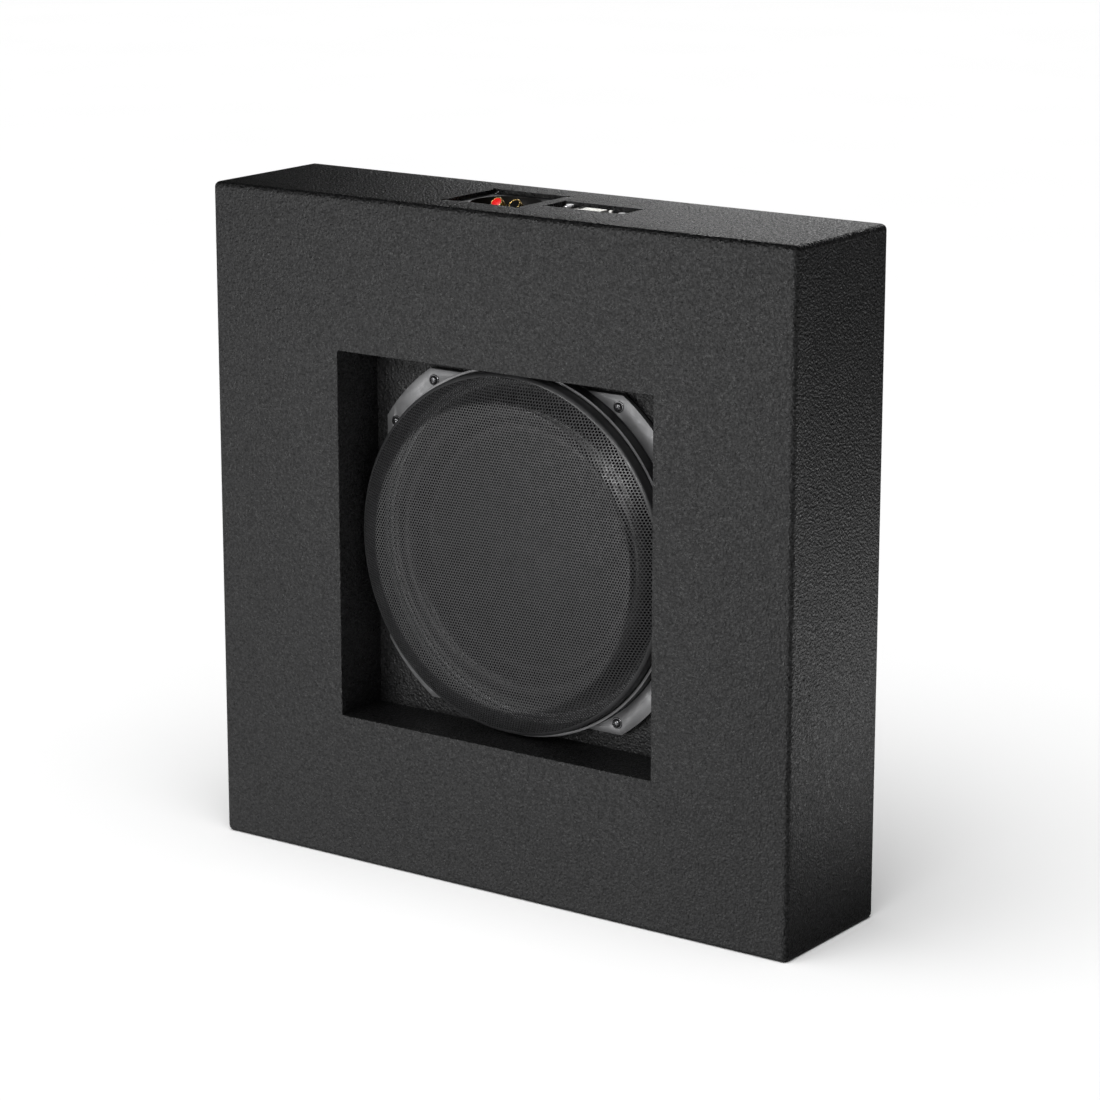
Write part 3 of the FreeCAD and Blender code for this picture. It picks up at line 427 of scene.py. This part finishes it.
def perforated_sheet():
    """A flat sheet of punched hexagonal cells in staggered rows, cropped to a disc."""
    ahead = AXIS + FORWARD * (DISC_AHEAD + 8 * MM)
    columns = 118
    rows = 2 * 68
    row_step = PITCH * math.sqrt(3) / 2
    start = ahead + Vector((-(columns - 0.5) * PITCH / 2, 0, -rows * PITCH * 0.433))
    facing = FORWARD.to_track_quat("Z", "Y").to_euler()
    bpy.ops.object.select_all(action="DESELECT")
    bpy.ops.mesh.primitive_circle_add(vertices=6, radius=PITCH / math.sqrt(3), fill_type="NGON",
                                      location=start, rotation=facing)
    sheet = named("perforated_sheet")
    open_mesh(sheet)
    bpy.ops.mesh.select_all(action="SELECT")
    bpy.ops.mesh.inset(thickness=BAR / 2)
    bpy.ops.mesh.delete(type="FACE")
    bpy.ops.mesh.select_all(action="SELECT")
    bpy.ops.mesh.duplicate_move(
        TRANSFORM_OT_translate={"value": (PITCH / 2, 0, row_step)})
    bpy.ops.mesh.select_all(action="SELECT")
    bpy.ops.mesh.remove_doubles(threshold=0.001 * MM)
    close_mesh()
    for count, step in ((columns, (PITCH, 0, 0)), (rows // 2, (0, 0, 2 * row_step))):
        line = sheet.modifiers.new("Row", "ARRAY")
        line.count = count
        line.use_relative_offset = False
        line.use_constant_offset = True
        line.constant_offset_displace = step
        line.use_merge_vertices = True
        line.merge_threshold = TINY
    apply_all(sheet)
    return sheet


def crop_round(sheet, radius):
    """Deletes what lies outside a circle about the driver's axis."""
    open_mesh(sheet)
    pick_faces(sheet, lambda centre, normal:
               math.hypot(centre.x - AXIS.x, centre.z - AXIS.z) > radius)
    bpy.ops.mesh.delete(type="FACE")
    close_mesh()


def press(sheet, tool):
    """Presses the flat sheet back against the tool."""
    wrap = sheet.modifiers.new("Pressed", "SHRINKWRAP")
    wrap.target = tool
    wrap.wrap_method = "PROJECT"
    wrap.use_project_x = False
    wrap.use_project_y = True
    wrap.use_project_z = False
    wrap.use_negative_direction = True
    wrap.use_positive_direction = True
    apply_all(sheet)
    bpy.data.objects.remove(tool)


def in_sixths(sheet):
    """Parts the sheet into six sectors, so that each stays a moderate size."""
    parts = []
    for index in range(6):
        take(sheet)
        bpy.ops.object.duplicate()
        part = bpy.context.object
        part.name = f"grille_sheet_{index + 1}"
        open_mesh(part)
        pick_faces(part, lambda centre, normal: sector_of(centre, 6) != index)
        bpy.ops.mesh.delete(type="FACE")
        close_mesh()
        parts.append(part)
    bpy.data.objects.remove(sheet)
    return parts


def sector_of(point, count):
    turn = math.atan2(point.z - AXIS.z, point.x - AXIS.x) % (2 * math.pi)
    return int(turn / (2 * math.pi) * count)


def grille():
    """The pressed grille: a perforated dome, a plain rolled edge, and the ring that carries it."""
    sheet = perforated_sheet()
    crop_round(sheet, SLOPE_RADIUS)
    press(sheet, pressing_tool())
    for part in in_sixths(sheet):
        thick = part.modifiers.new("Thickness", "SOLIDIFY")
        thick.thickness = SHEET
        thick.offset = -1
        apply_all(part)
        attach(part, "root")
        in_finish(part, "grille_steel")

    band_in = SLOPE_RADIUS - 1.6 * MM
    ahead = DISC_AHEAD - SLOPE * (band_in - DISC_RADIUS)
    rim = turned("grille_rolled_edge", [
        (band_in, ahead + 0.06 * MM),
        (RIM_RADIUS - 1.6 * MM, RIM_AHEAD + SLOPE * 1.6 * MM + 0.06 * MM),
        (RIM_RADIUS - 0.5 * MM, RIM_AHEAD + 0.1 * MM),
        (RIM_RADIUS, RIM_AHEAD - 1.2 * MM),
        (RIM_RADIUS, 11.1 * MM),
        (RIM_RADIUS - 1 * MM, 11.1 * MM),
        (RIM_RADIUS - 1 * MM, RIM_AHEAD - 2 * MM),
        (band_in, ahead - 1 * MM),
    ], steps=192)
    break_edges(rim, 0.15 * MM, angle=25)
    smooth(rim, 50)
    stand_for("grille_rolled_edge", rim, "grille_mesh")

    low, high = spans("grille_ring")
    outer = (high.x - low.x) / 2
    base = BAFFLE_FACE - high.y
    top = BAFFLE_FACE - low.y
    ring = turned("grille_carrier", [
        (outer - 8 * MM, base), (outer, base), (outer, base + 1.2 * MM),
        (outer - 0.5 * MM, base + 1.8 * MM), (outer - 0.5 * MM, top - 1.6 * MM), (outer, top - 1.0 * MM),
        (outer, top), (outer - 2 * MM, top), (outer - 2 * MM, base + 5 * MM),
        (outer - 8 * MM, base + 5 * MM),
    ], steps=192)
    break_edges(ring, 0.35 * MM, 3)
    smooth(ring)
    stand_for("grille_carrier", ring, "grille_ring")
    lip = turned("grille_lip", [
        (outer - 2.1 * MM, top - 0.6 * MM), (outer + 0.1 * MM, top - 0.6 * MM),
        (outer + 0.1 * MM, top + 0.1 * MM), (outer - 2.1 * MM, top + 0.1 * MM),
    ], steps=192)
    break_edges(lip, 0.25 * MM, 3)
    smooth(lip)
    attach(lip, "root")
    in_finish(lip, "frame_steel")


# ---- driver ------------------------------------------------------------------------------------

def sectors(piece, count, height, node):
    """Parts a flexing ring into sectors, each given its own thickness."""
    for index in range(count):
        take(piece)
        bpy.ops.object.duplicate()
        part = bpy.context.object
        part.name = f"{node}_{index + 1}"
        open_mesh(part)
        pick_faces(part, lambda centre, normal: sector_of(centre, count) != index)
        bpy.ops.mesh.delete(type="FACE")
        bpy.ops.mesh.select_all(action="DESELECT")
        close_mesh()
        thick = part.modifiers.new("Thickness", "SOLIDIFY")
        thick.thickness = height
        thick.offset = 0
        apply_all(part)
        smooth(part, 60)
        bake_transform(part)
        in_finish(part, SLOT_OF[node])
    bpy.data.objects.remove(piece)
    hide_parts(node)


def surround():
    """The rubber half-roll between the frame and the cone."""
    profile = [(94.2 * MM, 0.6 * MM), (100 * MM, 0.6 * MM)]
    for step in range(13):
        turn = math.pi * (1 - step / 12)
        profile.append((112 * MM + 11.5 * MM * math.cos(turn), 3.3 * MM + 11.3 * MM * math.sin(turn)))
    profile.append((124 * MM, 3.6 * MM))
    profile.append((132 * MM, 3.6 * MM))
    roll = open_ring("surround_roll", profile)
    sectors(roll, 24, 0.8 * MM, "surround")


def spider():
    """The corrugated cloth that centres the voice coil."""
    low, high = spans("spider")
    level = BAFFLE_FACE - (low.y + high.y) / 2
    outer = (high.x - low.x) / 2
    inner = 32.9 * MM
    profile = [(inner, level), (inner + 3 * MM, level)]
    waves = 6
    steps = 8 * waves
    reach = outer - 9 * MM - inner - 3 * MM
    for step in range(1, steps):
        share = step / steps
        profile.append((inner + 3 * MM + reach * share,
                        level + 0.75 * MM * math.sin(2 * math.pi * waves * share)))
    profile.append((outer - 9 * MM, level))
    profile.append((outer, level))
    cloth = open_ring("spider_cloth", profile, steps=96)
    sectors(cloth, 16, 0.45 * MM, "spider")


def cone():
    """The pressed pulp cone with its ribs, and the domed cap over the coil."""
    neck, edge = 32.5 * MM, 100 * MM
    floor = -18 * MM
    rise = (0 - floor) / (edge - 6.5 * MM - neck)
    profile = [(neck, floor)]
    for rib in range(3):
        start = 54 * MM + rib * 10 * MM
        at = floor + (start - neck) * rise
        profile += [(start, at), (start + 0.8 * MM, at + 0.7 * MM), (start + 2.2 * MM, at + 1.1 * MM),
                    (start + 3.0 * MM, at + 0.85 * MM + 0.1 * MM)]
    profile += [(edge - 6.5 * MM, 0), (edge, 0), (edge, -1.2 * MM), (edge - 6 * MM, -1.2 * MM),
                (neck, floor - 1.2 * MM)]
    body = turned("cone_body", profile, steps=144)
    smooth(body, 30)
    stand_for("cone_body", body, "cone")

    cap_low, cap_high = spans("dust_cap")
    radius = (cap_high.x - cap_low.x) / 2
    base = BAFFLE_FACE - cap_high.y
    rise = cap_high.y - cap_low.y
    ball = (radius ** 2 + rise ** 2) / (2 * rise)
    dome = []
    for step in range(13):
        turn = math.asin(radius / ball) * (1 - step / 12)
        dome.append((max(ball * math.sin(turn), 0.05 * MM), base + rise - ball * (1 - math.cos(turn))))
    under = [(max(r - 1.2 * MM, 0.05 * MM), h - 0.9 * MM) for r, h in reversed(dome)]
    under[-1] = (radius - 2.4 * MM, base)
    cap = turned("dust_dome", dome + under, steps=96)
    smooth(cap, 40)
    stand_for("dust_dome", cap, "dust_cap")


def tinsel():
    """Two braided leads from the terminal strip to the cone, slack enough for its travel."""
    leads = []
    for side in (-1, 1):
        rise = side * 6 * MM
        route = [(-98.2, -27.9), (-98.3, -21), (-94, -14.5), (-84, -13.5), (-74, -12.5), (-66, -11.0)]
        bpy.ops.object.select_all(action="DESELECT")
        bpy.ops.curve.primitive_nurbs_path_add()
        line = bpy.context.object
        spline = line.data.splines[0]
        spline.points.add(len(route) - len(spline.points))
        for point, (out, ahead) in zip(spline.points, route):
            place = AXIS + Vector((out * MM, -ahead * MM, rise))
            point.co = (*place, 1)
        spline.order_u = 4
        spline.use_endpoint_u = True
        line.data.bevel_depth = 0.9 * MM
        line.data.bevel_resolution = 3
        line.data.use_fill_caps = True
        line.data.resolution_u = 10
        line.location = (0, 0, 0)
        take(line)
        bpy.ops.object.convert(target="MESH")
        leads.append(bpy.context.object)
    take(leads[0])
    leads[1].select_set(True)
    bpy.ops.object.join()
    braid = named("tinsel_pair")
    smooth(braid, 60)
    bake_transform(braid)
    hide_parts("tinsel_leads")
    in_finish(braid, "copper")


BOLT_RADIUS = 154 * MM


def pan_heads():
    """The eight pan-head screws in the frame's ears, each with a collar and a cross recess."""
    low, high = spans("driver_screws")
    front, tail = BAFFLE_FACE - low.y, BAFFLE_FACE - high.y
    seat = front - 3 * MM
    profile = [
        (0.02 * MM, tail), (1.6 * MM, tail), (2.45 * MM, tail + 1.5 * MM), (2.45 * MM, seat),
        (4.6 * MM, seat + 0.02 * MM), (4.6 * MM, seat + 0.55 * MM), (4.3 * MM, seat + 0.75 * MM),
        (3.8 * MM, seat + 0.75 * MM), (3.7 * MM, seat + 1.3 * MM), (3.1 * MM, seat + 2.2 * MM),
        (2.0 * MM, seat + 2.8 * MM), (0.9 * MM, front), (0.02 * MM, front),
    ]
    screws = []
    for quarter in range(4):
        for side in (-1, 1):
            turn = math.radians(45 + 90 * quarter + 10 * side)
            place = AXIS + BOLT_RADIUS * Vector((math.cos(turn), 0, math.sin(turn)))
            screw = turned("pan_head", profile, centre=place, steps=32)
            cross_recess(screw, place + FORWARD * front, 25 * quarter + 17 * side)
            screws.append(screw)
    take(screws[0])
    for screw in screws[1:]:
        screw.select_set(True)
    bpy.ops.object.join()
    smooth(screws[0], 30)
    stand_for("pan_head_screws", screws[0], "driver_screws")


def cross_recess(screw, place, degrees):
    """Sinks a cross-shaped driver recess into a screw's head."""
    blades = []
    for turn in (degrees, degrees + 90):
        bpy.ops.object.select_all(action="DESELECT")
        bpy.ops.mesh.primitive_cube_add(size=1, location=place, rotation=(0, math.radians(turn), 0))
        blade = bpy.context.object
        blade.scale = (3.8 * MM, 2.6 * MM, 0.9 * MM)
        blades.append(named("blade"))
    for blade in blades:
        sink = screw.modifiers.new("Recess", "BOOLEAN")
        sink.operation = "DIFFERENCE"
        sink.object = blade
        apply_all(screw)
        bpy.data.objects.remove(blade)


# ---- finishes ----------------------------------------------------------------------------------

class Finish:
    """A node material, built from the object's own coordinates."""

    def __init__(self, name, colour, roughness, metallic=0.0, specular=0.5):
        self.material = bpy.data.materials.new(name)
        self.material.use_nodes = True
        self.nodes = self.material.node_tree.nodes
        self.links = self.material.node_tree.links
        self.shader = self.nodes["Principled BSDF"]
        self.shader.inputs["Base Color"].default_value = (*colour, 1)
        self.shader.inputs["Roughness"].default_value = roughness
        self.shader.inputs["Metallic"].default_value = metallic
        self.shader.inputs["Specular IOR Level"].default_value = specular
        self.place = self.nodes.new("ShaderNodeTexCoord").outputs["Object"]
        self.colour = colour
        self.last_bump = None

    def noise(self, scale, detail=3.0, stretch=None):
        texture = self.nodes.new("ShaderNodeTexNoise")
        texture.inputs["Scale"].default_value = scale
        texture.inputs["Detail"].default_value = detail
        self.links.new(self.stretched(stretch), texture.inputs["Vector"])
        return texture.outputs["Fac"]

    def cells(self, scale, smoothness=0.6):
        texture = self.nodes.new("ShaderNodeTexVoronoi")
        texture.feature = "SMOOTH_F1"
        texture.inputs["Scale"].default_value = scale
        texture.inputs["Smoothness"].default_value = smoothness
        self.links.new(self.place, texture.inputs["Vector"])
        return texture.outputs["Distance"]

    def stretched(self, stretch):
        if stretch is None:
            return self.place
        mapping = self.nodes.new("ShaderNodeMapping")
        mapping.inputs["Scale"].default_value = stretch
        self.links.new(self.place, mapping.inputs["Vector"])
        return mapping.outputs["Vector"]

    def ramp(self, source, stops):
        """A colour ramp: stops are (place, colour or grey)."""
        ramp = self.nodes.new("ShaderNodeValToRGB")
        elements = ramp.color_ramp.elements
        while len(elements) < len(stops):
            elements.new(0.5)
        for element, (place, value) in zip(elements, stops):
            shade = value if isinstance(value, tuple) else (value, value, value)
            element.position = place
            element.color = (*shade, 1)
        self.links.new(source, ramp.inputs["Fac"])
        return ramp.outputs["Color"]

    def mottle(self, source, low, high, start=0.35, end=0.65):
        """Varies the colour between two strengths of itself."""
        dark = tuple(low * part for part in self.colour)
        light = tuple(high * part for part in self.colour)
        self.links.new(self.ramp(source, [(start, dark), (end, light)]), self.shader.inputs["Base Color"])
        return self

    def sheen_between(self, source, low, high, start=0.35, end=0.65):
        """Varies the roughness."""
        self.links.new(self.ramp(source, [(start, low), (end, high)]), self.shader.inputs["Roughness"])
        return self

    def bump(self, source, height, strength=1.0):
        node = self.nodes.new("ShaderNodeBump")
        node.inputs["Distance"].default_value = height
        node.inputs["Strength"].default_value = strength
        self.links.new(source, node.inputs["Height"])
        if self.last_bump is not None:
            self.links.new(self.last_bump, node.inputs["Normal"])
        self.last_bump = node.outputs["Normal"]
        self.links.new(self.last_bump, self.shader.inputs["Normal"])
        return self


def textured_coat():
    """Sprayed two-part coating: fine hard pebbles, a little glossy on their tops."""
    coat = Finish("textured_coat", (0.014, 0.014, 0.0145), 0.42)
    coat.mottle(coat.noise(480, 3), 0.45, 1.9)
    coat.sheen_between(coat.noise(520, 2), 0.26, 0.62)
    coat.bump(coat.noise(430, 3), 1.6 * MM, 0.7)
    return coat.bump(coat.cells(560), 0.8 * MM, 0.7).material


def fibreboard():
    board = Finish("board", (0.42, 0.31, 0.20), 0.85)
    board.mottle(board.noise(900, 6, (1, 1, 4)), 0.7, 1.2)
    return board.bump(board.noise(1400, 4), 0.15 * MM, 0.5).material


def wadding():
    felt = Finish("pad_felt", (0.68, 0.67, 0.63), 1.0)
    felt.shader.inputs["Sheen Weight"].default_value = 0.4
    felt.mottle(felt.noise(500, 8, (1, 1, 3)), 0.75, 1.1)
    return felt.bump(felt.noise(350, 8), 1.2 * MM, 0.8).material


def satin_paint(name, colour, roughness, metallic=0.0):
    """Even satin paint over pressed steel, with a faint orange peel."""
    paint = Finish(name, colour, roughness, metallic)
    paint.mottle(paint.noise(60, 4), 0.9, 1.12)
    paint.sheen_between(paint.noise(240, 3), roughness - 0.06, roughness + 0.08)
    return paint.bump(paint.noise(700, 2), 0.06 * MM, 0.35).material


def moulding(name, colour, roughness, grain=1500, depth=0.06):
    """Moulded plastic with a fine spark-eroded grain."""
    plastic = Finish(name, colour, roughness)
    plastic.mottle(plastic.noise(90, 3), 0.92, 1.08)
    plastic.sheen_between(plastic.noise(grain / 2, 2), roughness - 0.05, roughness + 0.07)
    return plastic.bump(plastic.noise(grain, 2), depth * MM, 0.4).material


def plated(name, colour, roughness, stretch=(1, 1, 1), scale=400):
    """Plated or bare metal with fine drawn marks."""
    metal = Finish(name, colour, roughness, metallic=1.0)
    metal.mottle(metal.noise(120, 4), 0.88, 1.08)
    metal.sheen_between(metal.noise(scale, 5, stretch), roughness - 0.07, roughness + 0.12)
    return metal.bump(metal.noise(scale * 2, 3, stretch), 0.03 * MM, 0.35).material


def rubber(name, colour, roughness):
    skin = Finish(name, colour, roughness)
    skin.mottle(skin.noise(80, 5), 0.8, 1.2)
    skin.sheen_between(skin.noise(300, 3), roughness - 0.08, roughness + 0.12)
    return skin.bump(skin.noise(1200, 3), 0.04 * MM, 0.4).material


def pulp():
    """Pressed paper cone: matt black with short fibres."""
    paper = Finish("cone_paper", (0.010, 0.010, 0.011), 0.7, specular=0.15)
    paper.mottle(paper.noise(500, 7, (1, 1, 3)), 0.7, 1.4)
    return paper.bump(paper.noise(700, 6), 0.15 * MM, 0.6).material


def woven(name, colour, pitch):
    """Open cloth: two crossing waves of thread."""
    cloth = Finish(name, colour, 0.8)
    cloth.shader.inputs["Sheen Weight"].default_value = 0.25
    total = None
    for turn in (0, math.pi / 2):
        mapping = cloth.nodes.new("ShaderNodeMapping")
        mapping.inputs["Rotation"].default_value = (0, turn, 0)
        wave = cloth.nodes.new("ShaderNodeTexWave")
        wave.inputs["Scale"].default_value = 0.32 / pitch
        wave.inputs["Distortion"].default_value = 0.4
        cloth.links.new(cloth.place, mapping.inputs["Vector"])
        cloth.links.new(mapping.outputs["Vector"], wave.inputs["Vector"])
        if total is None:
            total = wave.outputs["Fac"]
        else:
            add = cloth.nodes.new("ShaderNodeMath")
            add.operation = "ADD"
            cloth.links.new(total, add.inputs[0])
            cloth.links.new(wave.outputs["Fac"], add.inputs[1])
            total = add.outputs[0]
    cloth.mottle(cloth.noise(200, 4), 0.8, 1.15)
    return cloth.bump(total, 0.2 * MM, 0.6).material


def finishes():
    """Every finish, by the slot that it belongs to."""
    made = {
        "textured_coat": textured_coat(),
        "board": fibreboard(),
        "pad_felt": wadding(),
        "frame_steel": satin_paint("frame_steel", (0.27, 0.27, 0.275), 0.42, 0.5),
        "gasket_foam": rubber("gasket_foam", (0.02, 0.02, 0.02), 0.85),
        "cone_paper": pulp(),
        "coil_former": plated("coil_former", (0.75, 0.74, 0.72), 0.4),
        "copper": plated("copper", (0.72, 0.36, 0.18), 0.35, (1, 8, 1), 1500),
        "surround_rubber": rubber("surround_rubber", (0.010, 0.010, 0.011), 0.2),
        "spider_cloth": woven("spider_cloth", (0.50, 0.36, 0.16), 0.6 * MM),
        "motor_steel": plated("motor_steel", (0.5, 0.5, 0.52), 0.35),
        "ferrite": moulding("ferrite", (0.06, 0.06, 0.065), 0.6, 600, 0.15),
        "black_ring": moulding("black_ring", (0.018, 0.018, 0.019), 0.34),
        "grille_steel": satin_paint("grille_steel", (0.030, 0.030, 0.031), 0.34),
        "black_screw": satin_paint("black_screw", (0.16, 0.16, 0.165), 0.2, 0.9),
        "zinc_steel": plated("zinc_steel", (0.62, 0.63, 0.64), 0.32),
        "cup_plastic": moulding("cup_plastic", (0.020, 0.020, 0.021), 0.42),
        "gold_plate": plated("gold_plate", (0.86, 0.60, 0.22), 0.22),
        "red_plastic": moulding("red_plastic", (0.62, 0.012, 0.012), 0.22, 900, 0.02),
        "black_plastic": moulding("black_plastic", (0.022, 0.022, 0.023), 0.38),
        "sink_aluminium": plated("sink_aluminium", (0.35, 0.35, 0.36), 0.5, (1, 1, 1), 1200),
        "silver_screw": plated("silver_screw", (0.9, 0.9, 0.9), 0.3),
        "knob_plastic": moulding("knob_plastic", (0.55, 0.55, 0.56), 0.28, 900, 0.02),
        "trimmer_plastic": moulding("trimmer_plastic", (0.42, 0.42, 0.42), 0.4),
        "potentiometer_metal": plated("potentiometer_metal", (0.6, 0.6, 0.6), 0.35),
        "white_nylon": moulding("white_nylon", (0.82, 0.81, 0.77), 0.45, 900, 0.05),
        "light_lens": moulding("light_lens", (0.08, 0.45, 0.12), 0.12, 900, 0.01),
        "board_green": moulding("board_green", (0.02, 0.14, 0.06), 0.3, 300, 0.05),
        "capacitor_sleeve": moulding("capacitor_sleeve", (0.03, 0.04, 0.1), 0.25, 900, 0.02),
        "inductor_core": moulding("inductor_core", (0.5, 0.45, 0.08), 0.6, 500, 0.1),
        "lead_jacket": rubber("lead_jacket", (0.04, 0.04, 0.04), 0.45),
    }
    return made


def dress_all():
    """Gives every CAD node and every new piece its finish."""
    made = finishes()
    for node, piece in NODES.items():
        piece.data.materials.clear()
        piece.data.materials.append(made[SLOT_OF[node]])
    for piece in bpy.context.scene.objects:
        if "finish" in piece:
            piece.data.materials.clear()
            piece.data.materials.append(made[piece["finish"]])


# ---- setting -----------------------------------------------------------------------------------

def camera():
    bpy.ops.object.camera_add(location=(1.6241, -2.2732, 0.9771))
    view = bpy.context.object
    view.rotation_euler = (math.radians(75.765), math.radians(0), math.radians(35.36))
    view.data.lens = 119.3
    view.data.sensor_width = 36
    view.data.clip_end = 60
    bpy.context.scene.camera = view


def floor():
    """A pale floor that runs out to the white surroundings."""
    bpy.ops.object.select_all(action="DESELECT")
    bpy.ops.mesh.primitive_circle_add(vertices=96, radius=14, fill_type="NGON")
    ground = named("floor")
    paper = Finish("floor_paper", (0.86, 0.86, 0.86), 0.9, specular=0.1)
    paper.mottle(paper.noise(3, 2), 0.995, 1.005)
    ground.data.materials.append(paper.material)
    ground.visible_glossy = False
    return ground


def soft_light(name, place, aim, size, power, colour=(1, 1, 1)):
    bpy.ops.object.light_add(type="AREA", location=place)
    lamp = bpy.context.object
    lamp.name = name
    lamp.data.shape = "RECTANGLE"
    lamp.data.size, lamp.data.size_y = size
    lamp.data.energy = power
    lamp.data.color = colour
    lamp.rotation_euler = (Vector(aim) - Vector(place)).to_track_quat("-Z", "Y").to_euler()
    lamp.visible_camera = False
    return lamp


def floor_light(ground, strength, tilt):
    """An even overhead light that falls on the floor alone, past the object."""
    bpy.ops.object.light_add(type="SUN", rotation=tilt)
    lamp = bpy.context.object
    lamp.name = "floor_light"
    lamp.data.energy = strength
    lamp.data.angle = math.radians(65)
    lit = bpy.data.collections.new("lit_floor")
    lit.objects.link(ground)
    lamp.light_linking.receiver_collection = lit
    return lamp


def spare_floor(lamp, ground):
    """Keeps a lamp's light off the floor."""
    spared = bpy.data.collections.new(lamp.name + "_spares")
    spared.objects.link(ground)
    spared.collection_objects[0].light_linking.link_state = "EXCLUDE"
    lamp.light_linking.receiver_collection = spared


def shade_by(world, source, stops):
    """Greys along a direction: source runs from -1 to 1, and stops are (place, grey)."""
    nodes, links = world.node_tree.nodes, world.node_tree.links
    spread = nodes.new("ShaderNodeMapRange")
    spread.inputs["From Min"].default_value = -1
    shades = nodes.new("ShaderNodeValToRGB")
    elements = shades.color_ramp.elements
    while len(elements) < len(stops):
        elements.new(0.5)
    for element, (place, grey) in zip(elements, stops):
        element.position = place
        element.color = (grey, grey, grey, 1)
    links.new(source, spread.inputs["Value"])
    links.new(spread.outputs["Result"], shades.inputs["Fac"])
    return shades.outputs["Color"]


def surroundings():
    """White behind everything, and dim light from all round on the object, darkest overhead."""
    world = bpy.data.worlds.new("studio")
    bpy.context.scene.world = world
    world.use_nodes = True
    nodes, links = world.node_tree.nodes, world.node_tree.links
    seen, around = nodes["Background"], nodes.new("ShaderNodeBackground")
    seen.inputs["Color"].default_value = (1, 1, 1, 1)
    seen.inputs["Strength"].default_value = 1.1
    heading = nodes.new("ShaderNodeTexCoord").outputs["Generated"]
    parts = nodes.new("ShaderNodeSeparateXYZ")
    links.new(heading, parts.inputs["Vector"])
    by_height = shade_by(world, parts.outputs["Z"],
                         [(0.0, 1.0), (0.47, 1.0), (0.53, 0.35), (0.80, 0.05), (1.0, 0.04)])
    aside = nodes.new("ShaderNodeVectorMath")
    aside.operation = "DOT_PRODUCT"
    aside.inputs[1].default_value = (-0.58, -0.81, 0)
    links.new(heading, aside.inputs[0])
    by_side = shade_by(world, aside.outputs["Value"],
                       [(0.0, 0.06), (0.45, 0.04), (0.75, 0.35), (1.0, 1.0)])
    both = nodes.new("ShaderNodeMix")
    both.data_type = "RGBA"
    both.blend_type = "MULTIPLY"
    both.inputs["Factor"].default_value = 1
    links.new(by_height, both.inputs["A"])
    links.new(by_side, both.inputs["B"])
    links.new(both.outputs["Result"], around.inputs["Color"])
    around.inputs["Strength"].default_value = 1.0
    path, mix = nodes.new("ShaderNodeLightPath"), nodes.new("ShaderNodeMixShader")
    links.new(path.outputs["Is Camera Ray"], mix.inputs["Fac"])
    links.new(around.outputs["Background"], mix.inputs[1])
    links.new(seen.outputs["Background"], mix.inputs[2])
    links.new(mix.outputs["Shader"], nodes["World Output"].inputs["Surface"])


TOP_FINISHES = ("white_nylon", "knob_plastic", "trimmer_plastic", "silver_screw", "gold_plate",
                "red_plastic")
GRILLE_FINISHES = ("grille_steel", "surround_rubber", "black_screw")


def only_for(lamp, wanted):
    """Aims a lamp at the pieces with certain finishes, as a narrow snoot would."""
    lit = bpy.data.collections.new(lamp.name + "_lit")
    for piece in bpy.context.scene.objects:
        if piece.get("finish") in wanted:
            lit.objects.link(piece)
    lamp.light_linking.receiver_collection = lit


def studio():
    camera()
    ground = floor()
    surroundings()
    floor_light(ground, 3.92, (math.radians(20), math.radians(3), 0))
    lamps = [
        soft_light("front_strip", (-0.45, -1.75, 1.15), (0.05, 0, 0.35), (1.3, 0.22), 8.5),
        soft_light("front_left_low", (-0.46, -1.09, 0.18), (0.2, 0, 0.45), (0.4, 0.4), 2),
        soft_light("front_right_box", (0.64, -1.84, 1.1), (0.1, 0, 0.4), (0.3, 0.3), 1.5),
        soft_light("back_box", (-0.5, 1.8, 1.1), (0.1, 0, 0.5), (1.35, 0.6), 6),
        soft_light("low_right", (0.75, 0.45, 0.01), (0.75, 0.45, 1), (0.7, 0.7), 3),
    ]
    for lamp in lamps:
        spare_floor(lamp, ground)
    top_fill = soft_light("top_fill", (-0.2, -0.7, 1.7), (0, 0, 0.54), (0.5, 0.5), 22)
    only_for(top_fill, TOP_FINISHES)
    grille_glow = soft_light("grille_glow", (0.64, -1.84, 1.1), (0.1, 0, 0.4), (0.35, 0.3), 12)
    only_for(grille_glow, GRILLE_FINISHES)
    edge_strip = soft_light("edge_strip", (-0.5, -1.85, 0.85), (0.1, 0, 0.3), (1.0, 0.08), 3)
    only_for(edge_strip, GRILLE_FINISHES)
    bpy.context.scene.view_settings.view_transform = "Standard"


# ---- the whole ---------------------------------------------------------------------------------

SOFTENED = {
    "driver_frame": (0.5, 2), "cup_screws": (0.15, 2),
    "panel_screws": (0.15, 2), "terminal_cup": (0.5, 2), "red_post_nut": (0.12, 2),
    "black_post_nut": (0.12, 2), "red_post_insert": (0.2, 2), "black_post_insert": (0.2, 2),
    "red_post_washer": (0.15, 2), "black_post_washer": (0.15, 2), "amp_control_panel": (0.3, 2),
    "harness_socket": (0.2, 2), "phase_switch": (0.15, 2), "switch_slider": (0.15, 2),
    "level_knob": (0.15, 2), "crossover_trimmer": (0.12, 2), "power_light": (0.2, 2),
    "binding_posts": (0.3, 2), "amp_heat_sink": (0.4, 2), "yoke": (0.8, 2),
}


def build():
    cabinet_skin()
    grille()
    surround()
    spider()
    cone()
    tinsel()
    pan_heads()
    for node, (width, segments) in SOFTENED.items():
        softened(node, width * MM, segments)
    dress_all()
    studio()


build()
